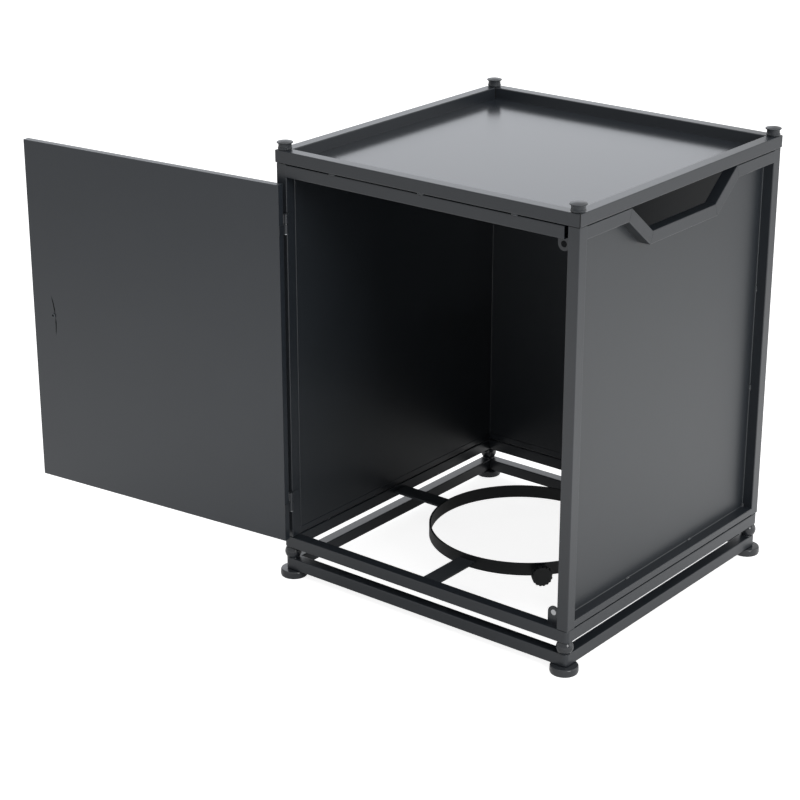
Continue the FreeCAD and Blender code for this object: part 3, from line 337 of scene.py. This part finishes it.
ball_coat = powder_coat("charcoal_powder_coat_ball", "#282b2f", "#2e3135", roughness=0.15)
dress(ball_coat, "spacer_balls")

BALL_RADIUS = 11.0
BALL_WELD_RADIUS = 7.9
BALL_WELD_THICKNESS = 1.1
BALL_WELD_SIDES = 8

low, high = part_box("spacer_balls")
ball_across = high[0] - BALL_RADIUS * MM
half_weld = BALL_WELD_THICKNESS / 2
turns = [math.tau * step / BALL_WELD_SIDES for step in range(BALL_WELD_SIDES + 1)]
section = [(BALL_WELD_RADIUS + half_weld * math.cos(turn), half_weld * math.sin(turn)) for turn in turns]
shape = bmesh.new()
for sign_x, sign_y in CORNERS.values():
    for level in (low[2], high[2]):
        lathe(shape, section, (sign_x * ball_across, sign_y * ball_across, level))
new_piece("spacer_ball_welds", shape, ball_coat, "cabinet", "powder_coated_steel")


# Base frame, straps and tank ring
# The base repeats the plinth's mitred frame. Four flat bars run in from it to a ring of flat bar,
# bent and butt welded, that takes the foot of the gas cylinder. All are coated steel: the bars have
# a duller coat than the tubes, and the ring a black one.

dress(tube_coat, *(f"base_{side}_tube" for side in SIDES))
strap_coat = powder_coat("charcoal_powder_coat_strap", "#33373b", "#383c40", roughness=0.55)
dress(strap_coat, *(f"{side}_strap" for side in SIDES))
ring_coat = powder_coat("black_powder_coat_ring", "#191b1c", "#1e2022", roughness=0.30)
dress(ring_coat, "tank_ring", "clamp_nut")


# Tank clamp
# A zinc plated screw runs through a nut welded to the ring. It carries a fluted knob outside the
# ring and a tip inside it, both moulded from black nylon with a satin sheen.

knob_nylon = moulded_nylon("moulded_black_nylon_knob", "#16181a", "#1c1f21", grain_mm=0.8, roughness=0.34)
dress(knob_nylon, "clamp_knob", "clamp_tip")
dress(zinc, "clamp_screw")


# Posts, rails and their fasteners
# Square steel tube: four posts, dipped handle rails in five mitred lengths each, and bottom, front and
# back rails, all coated as one. Each rail's end is welded to its post and ground flush, so no groove
# shows there. Bolts and inserts are zinc plated, and plugs of matte nylon close the posts' ends.

dress(tube_coat, *(corner + "_post" for corner in CORNERS), "left_handle_rail", "right_handle_rail",
      "front_rail", "back_top_rail", "back_bottom_rail", "left_bottom_rail", "right_bottom_rail")
dress(zinc, "side_frame_bolts", "bottom_rail_inserts")
# The plugs show only as a lip in the seam under the tray. Their near-black, nearly shineless nylon is partly
# their own black and partly painted shade of that seam.
plug_nylon = moulded_nylon("seam_shade_nylon_plug", "#08090a", "#0c0d0e", grain_mm=0.8, roughness=0.60,
                           shine=0.2)
dress(plug_nylon, "post_end_plugs")

UP = Vector((0, 0, 1))
TUBE_EDGE = 1.2 * MM
GROUND_INSET = TUBE_EDGE / 3
post_low, post_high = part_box("right_back_post")
inner, outer = post_low[0], post_high[0]


def skin_over(shape, rings):
    """Faces from each ring of points to the next, with the first and the last ring closed."""
    for near, far in zip(rings, rings[1:]):
        for index in range(len(near)):
            after = (index + 1) % len(near)
            shape.faces.new([near[index], near[after], far[after], far[index]])
    shape.faces.new(rings[0][::-1])
    shape.faces.new(rings[-1])


def prism(shape, section, travel):
    """A straight bar: a section's points in space, drawn out along travel."""
    skin_over(shape, [[shape.verts.new(Vector(point) + shift) for point in section]
                      for shift in (Vector(), Vector(travel))])


def ground_weld(shape, joint, post_way, inward, low, high):
    """Weld metal that fills the groove between a rail's end and a post's rounded edge."""
    corner = Vector((*joint, low))
    section = [corner, corner + TUBE_EDGE * Vector((*post_way, 0)), corner + TUBE_EDGE * Vector((*inward, 0))]
    prism(shape, section, UP * (high - low))


shape = bmesh.new()
for sign_x, sign_y in CORNERS.values():
    for rail in ("back_top_rail", "back_bottom_rail"):
        rail_low, rail_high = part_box(rail)
        low, high = rail_low[2] + GROUND_INSET, rail_high[2] - GROUND_INSET
        ground_weld(shape, (sign_x * outer, sign_y * inner), (0, sign_y), (-sign_x, 0), low, high)
        ground_weld(shape, (sign_x * inner, sign_y * inner), (0, sign_y), (sign_x, 0), low, high)
        meets_front_rail = sign_x < 0 and rail == "back_top_rail"
        if sign_y > 0 or meets_front_rail:
            ground_weld(shape, (sign_x * inner, sign_y * outer), (sign_x, 0), (0, -sign_y), low, high)
new_piece("ground_corner_welds", shape, tube_coat, "cabinet", "powder_coated_steel")


# Side and back sheets
# Cold rolled sheet, welded behind the tubes and coated with them. Flat sheet takes the powder more
# evenly than tube, so its orange peel is wider and its shine a little softer. Sealing weld and
# coat round the inside corners where the sheets meet the tubes.

sheet_coat = powder_coat("charcoal_powder_coat_sheet", "#24282c", "#282c31", roughness=0.37, peel_mm=2.2)
dress(sheet_coat, "left_side_panel", "right_side_panel", "back_panel")

FILL_LEG = 0.8 * MM
FILL_DEGREES = (270, 247.5, 225, 202.5, 180)
SEAL_RADIUS = 0.8 * MM
SEAL_SIDES = 12

sheet_low, sheet_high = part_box("right_side_panel")
sheet_face = sheet_high[0]
sheet_bottom, sheet_top = sheet_low[2], sheet_high[2]


def corner_fill(shape, start, end, out_a, out_b):
    """The rounded filling of an inside corner, hollow in section, from start to end."""
    start, out_a, out_b = Vector(start), Vector(out_a), Vector(out_b)
    section = [start]
    for degrees in FILL_DEGREES:
        angle = math.radians(degrees)
        across, up = 1 + math.cos(angle), 1 + math.sin(angle)
        section.append(start + FILL_LEG * (across * out_a + up * out_b))
    prism(shape, section, Vector(end) - start)


shape = bmesh.new()
for sign in (-1, 1):
    face, out = sign * sheet_face, (sign, 0, 0)
    corner_fill(shape, (face, -inner, sheet_bottom), (face, inner, sheet_bottom), out, UP)
    for end in (-1, 1):
        corner_fill(shape, (face, end * inner, sheet_bottom), (face, end * inner, sheet_top),
                    out, (0, -end, 0))
    corner_fill(shape, (sign * inner, sheet_face, sheet_bottom), (sign * inner, sheet_face, sheet_top),
                (0, 1, 0), (-sign, 0, 0))
corner_fill(shape, (-inner, sheet_face, sheet_bottom), (inner, sheet_face, sheet_bottom), (0, 1, 0), UP)
corner_fill(shape, (-inner, sheet_face, sheet_top), (inner, sheet_face, sheet_top), (0, 1, 0), -UP)
turns = [math.tau * step / SEAL_SIDES for step in range(SEAL_SIDES)]
for sign_x, sign_y in CORNERS.values():
    corner = Vector((sign_x * inner, sign_y * inner, sheet_bottom))
    seal = [corner + SEAL_RADIUS * Vector((math.cos(turn), math.sin(turn), 0)) for turn in turns]
    prism(shape, seal, UP * (sheet_top - sheet_bottom))
new_piece("sheet_edge_welds", shape, tube_coat, "cabinet", "powder_coated_steel")


# Handle mitres
# Each handle rail is five lengths welded end to end. The welds are ground flush and coated over, and
# the shade of each joint is painted as a dark, dull hairline across the outer face at the four bends.

DIP_TOP_HALF = 119 * MM
DIP_FLOOR_HALF = 71 * MM
HAIRLINE_WIDTH = 0.5 * MM
HAIRLINE_RISE = 0.06 * MM

handle_low, handle_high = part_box("right_handle_rail")
tube = outer - inner
dip_drop = handle_high[2] - tube - handle_low[2]
mitre_shift = tube * math.tan(math.atan2(dip_drop, DIP_TOP_HALF - DIP_FLOOR_HALF) / 2)
across = Vector((0, HAIRLINE_WIDTH / 2, 0))
shape = bmesh.new()
for sign in (-1, 1):
    rise = Vector((sign * HAIRLINE_RISE, 0, 0))
    for half, rail_top in ((DIP_TOP_HALF, handle_high[2]), (DIP_FLOOR_HALF, handle_low[2] + tube)):
        for end in (-1, 1):
            start = Vector((sign * outer, end * half, rail_top - TUBE_EDGE))
            run = Vector((0, end * mitre_shift, -tube)) * (tube - 2 * TUBE_EDGE) / tube
            prism(shape, [start - across - rise, start + across - rise, start + across + rise,
                          start - across + rise], run)
# A dark strip just proud of the face: painted shade of the joint.
mitre_coat = powder_coat("shaded_powder_coat_mitre", "#101214", "#15171a", roughness=0.50, shine=0.3)
new_piece("handle_mitre_lines", shape, mitre_coat, "cabinet", "powder_coated_steel")


# Tray
# Four mitred steel tubes stand on the posts and the front rail, round a flat sheet floor. Their mitres
# are welded from inside, so a thin line stays open at each corner, and its shade is painted on the tubes
# as a dark line. The floor has the clearest coat of all the sheets, because it lay level while the coat
# flowed out.

tray_tube_coat = powder_coat("charcoal_powder_coat_tray_tube", "#24282d", "#292d32", roughness=0.30,
                             joint_mm=1.5)
tray_floor_coat = powder_coat("charcoal_powder_coat_tray_floor", "#24282d", "#282c31", roughness=0.17,
                              peel_mm=2.2)
dress(tray_tube_coat, *(f"tray_{side}_tube" for side in SIDES))
dress(tray_floor_coat, "tray_panel")


# Tack welds
# Short beads of weld metal, coated over: in the corners of the sheets, and in the seam between the
# front rail and the tray. A bead is full in the middle, rippled, and drawn out at its ends.

BEAD_HALF_LENGTH = 5 * MM
BEAD_LEG = 2.4 * MM
BEAD_SPACING = 137 * MM
SIDE_BEAD_SPACING = 147 * MM
SEAM_BEAD_ROOT = 0.6 * MM
SEAM_BEAD_DEPTH = 1.8 * MM
SEAM_BEAD_HALF = 2.3 * MM


def weld_bead(shape, middle, along, out_a, out_b, first_degree=0):
    """A rippled bead about a spine: its section sweeps from out_a, at 0 degrees, to out_b, at 90.

    first_degree moves the start of the sweep, so that -90 gives a half round instead of a quarter.
    """
    stations, turns, ripples = 14, 6, 3.5
    fullness, ripple_height, end_size = 0.4, 0.08, 0.02
    along, out_a, out_b = Vector(along), Vector(out_a), Vector(out_b)
    rings = []
    for station in range(stations + 1):
        share = 2 * station / stations - 1
        ripple = 1 + ripple_height * math.cos(ripples * math.tau * share)
        size = (1 - share ** 2) ** fullness * ripple + end_size
        spine = Vector(middle) + along * share
        ring = [spine]
        for turn in range(turns + 1):
            angle = math.radians(first_degree + (90 - first_degree) * turn / turns)
            ring.append(spine + size * (math.cos(angle) * out_a + math.sin(angle) * out_b))
        rings.append([shape.verts.new(point) for point in ring])
    skin_over(shape, rings)


middle_height = (sheet_bottom + sheet_top) / 2
seam_low, seam_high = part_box("front_rail")[1][2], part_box("tray_front_tube")[0][2]
shape = bmesh.new()
for sign in (-1, 1):
    face, out = sign * sheet_face, Vector((sign, 0, 0)) * BEAD_LEG
    for step in (-1, 1):
        weld_bead(shape, (face, step * SIDE_BEAD_SPACING / 2, sheet_bottom),
                  (0, BEAD_HALF_LENGTH, 0), out, UP * BEAD_LEG)
    for end in (-1, 1):
        inward = Vector((0, -end, 0)) * BEAD_LEG
        weld_bead(shape, (face, end * inner, sheet_bottom), UP * BEAD_HALF_LENGTH, out, inward)
        for step in (-1, 1):
            weld_bead(shape, (face, end * inner, middle_height + step * BEAD_SPACING / 2),
                      UP * BEAD_HALF_LENGTH, out, inward)
for step in (-1, 0, 1):
    weld_bead(shape, (step * BEAD_SPACING, sheet_face, sheet_bottom),
              (BEAD_HALF_LENGTH, 0, 0), Vector((0, BEAD_LEG, 0)), UP * BEAD_LEG)
    weld_bead(shape, (step * BEAD_SPACING, SEAM_BEAD_ROOT - outer, (seam_low + seam_high) / 2),
              (BEAD_HALF_LENGTH, 0, 0), Vector((0, -SEAM_BEAD_DEPTH, 0)), UP * SEAM_BEAD_HALF,
              first_degree=-90)
new_piece("tack_weld_beads", shape, tube_coat, "cabinet", "powder_coated_steel", "tack_welds")


# Thumb nuts
# Steel nuts turned with a mushroom head and coated satin black, screwed down on the posts' studs to
# clamp the tray. The domed head has a thin lip over a waisted stem, and the undercut foot leaves a
# dark ring.

NUT_ACROSS = 219.2 * MM
NUT_SOCKET = 7.2
FOOT_INSET, FOOT_TOP = 2.5, 1.1
COLLAR_INSET, COLLAR_TOP = 1.3, 2.8
WAIST_INSET, WAIST_BOTTOM, WAIST_TOP = 2.0, 3.3, 7.6
LIP_BOTTOM = 8.7
DOME_RISE = 1.6
DOME_INSET = 0.5
DOME_SHARES = (0.96, 0.84, 0.7, 0.54, 0.36, 0.18)

low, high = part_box("corner_thumb_nuts")
cap_rise = (high[2] - low[2]) / MM
cap_rim = (high[0] - NUT_ACROSS) / MM
dome_rim = cap_rim - DOME_INSET
dome_radius = (dome_rim ** 2 + DOME_RISE ** 2) / (2 * DOME_RISE)
dome = [(dome_rim * share, cap_rise - dome_radius + math.sqrt(dome_radius ** 2 - (dome_rim * share) ** 2))
        for share in DOME_SHARES]
foot, collar, waist = cap_rim - FOOT_INSET, cap_rim - COLLAR_INSET, cap_rim - WAIST_INSET
stem = rounded_outline([
    (STUD_RADIUS, NUT_SOCKET, 0), (STUD_RADIUS, 0, 0), (foot, 0, 0.2), (foot, FOOT_TOP, 0.1),
    (collar, FOOT_TOP, 0.4), (collar, COLLAR_TOP, 0.4), (waist, WAIST_BOTTOM, 0.2), (waist, WAIST_TOP, 1.0),
    (cap_rim, LIP_BOTTOM, 0.5), (cap_rim, cap_rise - DOME_RISE, 0.6), dome[0] + (0,)])
shape = bmesh.new()
for sign_x, sign_y in CORNERS.values():
    lathe(shape, [(0, NUT_SOCKET)] + stem + dome[1:] + [(0, cap_rise)],
          (sign_x * NUT_ACROSS, sign_y * NUT_ACROSS, low[2]))
nut_coat = powder_coat("satin_black_powder_coat_nut", "#34373a", "#3c3f43", roughness=0.32, shine=0.3)
new_piece("turned_thumb_nuts", shape, nut_coat, "cabinet", "powder_coated_steel", "corner_thumb_nuts")


# Door and hinges
# A folded outer pan closed by a flat inner skin, hung on two barrel hinges at its left edge and coated
# with the cabinet. The coated pull is on the outer face, held by one plated screw whose head shows
# inside, where the skin is creased in a shallow arc beside it. The crease is a low ridge whose shade is
# painted on it in a near-black, dull coat, and the screw head has a drive recess painted on it as shade.

door_coat = powder_coat("charcoal_powder_coat_door", "#262b31", "#2b3036", roughness=0.34, peel_mm=2.2)
# The crease's darkness is painted shade, in a near-black, dull coat.
crease_shade_coat = powder_coat("shade_painted_powder_coat_crease", "#0b0c0d", "#111314", roughness=0.60, shine=0.1)
pull_coat = powder_coat("black_powder_coat_pull", "#16181a", "#1c1f21", roughness=0.34)
dress(door_coat, "door_outer_pan", "door_inner_skin")
dress(tube_coat, "post_hinge_knuckles", "door_hinge_knuckles", "magnet_tabs")
dress(zinc, "hinge_pins")
dress(pull_coat, "door_pull")

OPEN_ANGLE = math.radians(174.3)
SCREW_HEAD_RADIUS = 3.5 * MM
SCREW_HEAD_HEIGHT = 1.0 * MM
DRIVE_SHADE_RADIUS = 2.0 * MM

leaf_way = Vector((math.cos(OPEN_ANGLE), -math.sin(OPEN_ANGLE), 0))
skin_normal = Vector((math.sin(OPEN_ANGLE), math.cos(OPEN_ANGLE), 0))
screw_low, screw_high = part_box("door_pull_screw")
screw_tip = Vector((screw_low[0], screw_low[1], (screw_low[2] + screw_high[2]) / 2))
screw_place = screw_tip - leaf_way * SCREW_HEAD_RADIUS - skin_normal * SCREW_HEAD_HEIGHT


def disc_plating(name, middle, radius, inside, outside):
    """Plated metal with one pair of cloudy tints within a radius of a point, and another beyond it."""
    cloud_mm, relief_mm = 2, 0.02
    material, tree = new_finish(name)
    place = add_node(tree, "ShaderNodeTexCoord").outputs["Object"]
    reach = add_node(tree, "ShaderNodeVectorMath", {"operation": "DISTANCE", 0: place, 1: middle})
    within = add_node(tree, "ShaderNodeMath", {
        "operation": "LESS_THAN", 0: reach.outputs["Value"], 1: radius})
    cloud = add_node(tree, "ShaderNodeTexNoise", {
        "Scale": per_metre(cloud_mm), "Detail": 3.0, "Vector": place})
    outer_tint, inner_tint = [
        add_node(tree, "ShaderNodeMix", {
            "data_type": "RGBA", 0: cloud.outputs[0], MIX_FIRST: linear(base), MIX_SECOND: linear(dull)})
        for base, dull in (outside, inside)]
    plating = add_node(tree, "ShaderNodeMix", {
        "data_type": "RGBA", 0: within.outputs[0], MIX_FIRST: outer_tint.outputs[MIXED],
        MIX_SECOND: inner_tint.outputs[MIXED]})
    polish = add_node(tree, "ShaderNodeMapRange", {
        "Value": cloud.outputs[0], "To Min": 0.22, "To Max": 0.38})
    relief = add_node(tree, "ShaderNodeBump", {
        "Strength": 0.1, "Distance": relief_mm * MM, "Height": cloud.outputs[0]})
    shader = add_node(tree, "ShaderNodeBsdfPrincipled", {
        "Base Color": plating.outputs[MIXED], "Metallic": 1.0, "Roughness": polish.outputs[0],
        "Normal": relief.outputs[0]})
    add_node(tree, "ShaderNodeOutputMaterial", {"Surface": shader.outputs[0]})
    return material


# The head is plated grey, with a dark middle painted on it as the shade of a drive recess that the head's
# shape doesn't have.
screw_plating = disc_plating("zinc_plated_steel_drive_shade", screw_place, DRIVE_SHADE_RADIUS,
                             ("#141516", "#101112"), ("#4c4f52", "#46494c"))
dress(screw_plating, "door_pull_screw")

ARC_RADIUS = 120 * MM
ARC_MIDDLE = (4.0 * MM, -10 * MM)
CREASE_RISE = 0.35 * MM
CREASE_STROKES = ((29 * MM, 2 * MM, 1.6 * MM, 3.2 * MM), (-2 * MM, -29 * MM, 3.2 * MM, 1.2 * MM))
RIDGE_SECTION = ((-0.5, -0.2), (-0.3, 0.75), (0, 1), (0.3, 0.75), (0.5, -0.2))


def pressed_stroke(shape, top, bottom, top_width, bottom_width):
    """A low ridge on the door's skin that follows an arc between two heights from the screw."""
    stations, end_size, taper_share = 12, 0.15, 0.25
    rings = []
    for station in range(stations + 1):
        share = station / stations
        rise = top + (bottom - top) * share
        across = ARC_MIDDLE[0] - (rise - ARC_MIDDLE[1]) ** 2 / (2 * ARC_RADIUS)
        width = top_width + (bottom_width - top_width) * share
        taper = min(1, share / taper_share, (1 - share) / taper_share) * (1 - end_size) + end_size
        centre = screw_place - leaf_way * across + UP * rise
        rings.append([shape.verts.new(centre + leaf_way * width * taper * side
                                      + skin_normal * CREASE_RISE * taper * lift)
                      for side, lift in RIDGE_SECTION])
    skin_over(shape, rings)


shape = bmesh.new()
for stroke in CREASE_STROKES:
    pressed_stroke(shape, *stroke)
new_piece("door_skin_crease", shape, crease_shade_coat, "door", "powder_coated_steel")


# Magnets
# Two nickel plated discs pressed into the tabs. The lower one is bright inside its bevel; the bevel and
# the whole upper disc are painted dark, as painted shade.

BRIGHT_RADIUS = 3.7 * MM
magnet_low, magnet_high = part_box("door_magnets")
magnet_radius = (magnet_high[0] - magnet_low[0]) / 2
disc_middle = (magnet_low[0] + magnet_radius, magnet_low[1], magnet_low[2] + magnet_radius)
# Outside a small disc on the lower magnet the plating is painted dark: painted shade.
nickel = disc_plating("nickel_plated_magnet", disc_middle, BRIGHT_RADIUS,
                      ("#b9babc", "#a3a4a6"), ("#1a1b1c", "#111213"))
dress(nickel, "door_magnets")


# Studio and camera
# A white sweep, a wide soft lamp overhead, soft lamps behind and at the right, and a long lens. The
# lens sees the sweep white all over. What the steel mirrors of it carries a painted shadow close to the
# table, and is painted darker again further out.

FLOOR_SIZE = 40
floor_mesh = bpy.data.meshes.new("studio_floor")
reach = FLOOR_SIZE / 2
floor_mesh.from_pydata([(-reach, -reach, 0), (reach, -reach, 0), (reach, reach, 0), (-reach, reach, 0)],
                       [], [(0, 1, 2, 3)])
floor = bpy.data.objects.new("studio_floor", floor_mesh)
bpy.context.scene.collection.objects.link(floor)
floor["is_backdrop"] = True


def seen_directly(tree, straight, mirrored, otherwise):
    """One level for what the lens sees straight on or through glass, one for what a shine shows."""
    path = add_node(tree, "ShaderNodeLightPath")
    first = add_node(tree, "ShaderNodeMath", {
        "operation": "MAXIMUM", 0: path.outputs["Is Camera Ray"], 1: path.outputs["Is Transmission Ray"]})
    shine = add_node(tree, "ShaderNodeMapRange", {
        "Value": path.outputs["Is Glossy Ray"], "To Min": otherwise, "To Max": mirrored})
    return add_node(tree, "ShaderNodeMapRange", {
        "Value": first.outputs[0], "To Min": shine.outputs[0], "To Max": straight}).outputs[0]


# What a shine shows of the sweep, with a painted shadow of the table: pairs of a distance from the middle of
# the painted shadow and a level
SHADE_MIDDLE = (-0.05, -0.07, 0)
FLOOR_FADE = ((0.0, 0.10), (0.20, 0.10), (0.44, 0.66), (0.75, 0.91), (1.20, 0.81), (1.50, 0.73), (1.90, 0.40))
FADE_LENGTH = 2.0
FLOOR_GLOW = 0.86

floor_paper, tree = new_finish("white_paper_sweep")
place = add_node(tree, "ShaderNodeTexCoord").outputs["Object"]
away = add_node(tree, "ShaderNodeVectorMath", {"operation": "DISTANCE", 0: place, 1: SHADE_MIDDLE})
share = add_node(tree, "ShaderNodeMath", {"operation": "DIVIDE", 0: away.outputs["Value"], 1: FADE_LENGTH})
fade = add_node(tree, "ShaderNodeValToRGB", {"Fac": share.outputs[0]})
stops = fade.color_ramp.elements
for index, (distance, level) in enumerate(FLOOR_FADE):
    stop = stops[index] if index < len(stops) else stops.new(1.0)
    stop.position = distance / FADE_LENGTH
    stop.color = (level, level, level, 1)
paper = add_node(tree, "ShaderNodeBsdfDiffuse", {"Color": linear("#dcdcdc")})
glow_level = seen_directly(tree, straight=FLOOR_GLOW, mirrored=fade.outputs["Color"], otherwise=0.0)
glow = add_node(tree, "ShaderNodeEmission", {"Color": linear("#ffffff"), "Strength": glow_level})
both = add_node(tree, "ShaderNodeAddShader", {0: paper.outputs[0], 1: glow.outputs[0]})
add_node(tree, "ShaderNodeOutputMaterial", {"Surface": both.outputs[0]})
floor_mesh.materials.append(floor_paper)

world = bpy.data.worlds.new("white_studio")
world.use_nodes = True
world.node_tree.nodes.clear()
tree = world.node_tree
sky_level = seen_directly(tree, straight=1.0, mirrored=0.8, otherwise=0.45)
sky = add_node(tree, "ShaderNodeBackground", {"Color": linear("#ffffff"), "Strength": sky_level})
add_node(tree, "ShaderNodeOutputWorld", {"Surface": sky.outputs[0]})
bpy.context.scene.world = world

TABLE_MIDDLE = Vector((0, 0, 0.3))


def soft_lamp(name, place, width, height, radiance, colour="#ffffff"):
    """A soft box of an even brightness, turned to face the middle of the table."""
    light = bpy.data.lights.new(name, "AREA")
    light.shape = "RECTANGLE"
    light.size = width
    light.size_y = height
    light.energy = radiance * math.pi * width * height
    light.color = linear(colour)[:3]
    lamp = bpy.data.objects.new(name, light)
    bpy.context.scene.collection.objects.link(lamp)
    lamp.location = place
    lamp.rotation_mode = "QUATERNION"
    lamp.rotation_quaternion = (TABLE_MIDDLE - Vector(place)).to_track_quat("-Z", "Y")


soft_lamp("overhead_soft_box", (0, 0, 2.6), width=2.2, height=2.2, radiance=1.2)
soft_lamp("back_left_soft_box", (-2.6, 2.6, 1.9), width=2.6, height=2.0, radiance=0.82, colour="#eef4ff")
soft_lamp("right_soft_box", (3.0, 2.0, 1.2), width=2.6, height=2.0, radiance=1.2)
soft_lamp("right_front_soft_box", (2.8, -0.85, 1.5), width=1.1, height=1.1, radiance=9.6)

AZIMUTH = math.radians(38.58)
ELEVATION = math.radians(21.30)
DISTANCE = 2.99912
TARGET = Vector((-0.21176, 0, 0.18435))
FOCAL_PIXELS = 2177.41
IMAGE_PIXELS = 800

back = Vector((math.sin(AZIMUTH) * math.cos(ELEVATION), -math.cos(AZIMUTH) * math.cos(ELEVATION),
               math.sin(ELEVATION)))
lens = bpy.data.cameras.new("camera")
lens.sensor_width = 36
lens.lens = FOCAL_PIXELS / IMAGE_PIXELS * lens.sensor_width
lens.clip_end = 100
camera = bpy.data.objects.new("camera", lens)
bpy.context.scene.collection.objects.link(camera)
camera.rotation_mode = "QUATERNION"
camera.location = TARGET + back * DISTANCE
camera.rotation_quaternion = (-back).to_track_quat("-Z", "Y")
bpy.context.scene.camera = camera
bpy.context.scene.view_settings.view_transform = "Standard"

low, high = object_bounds()
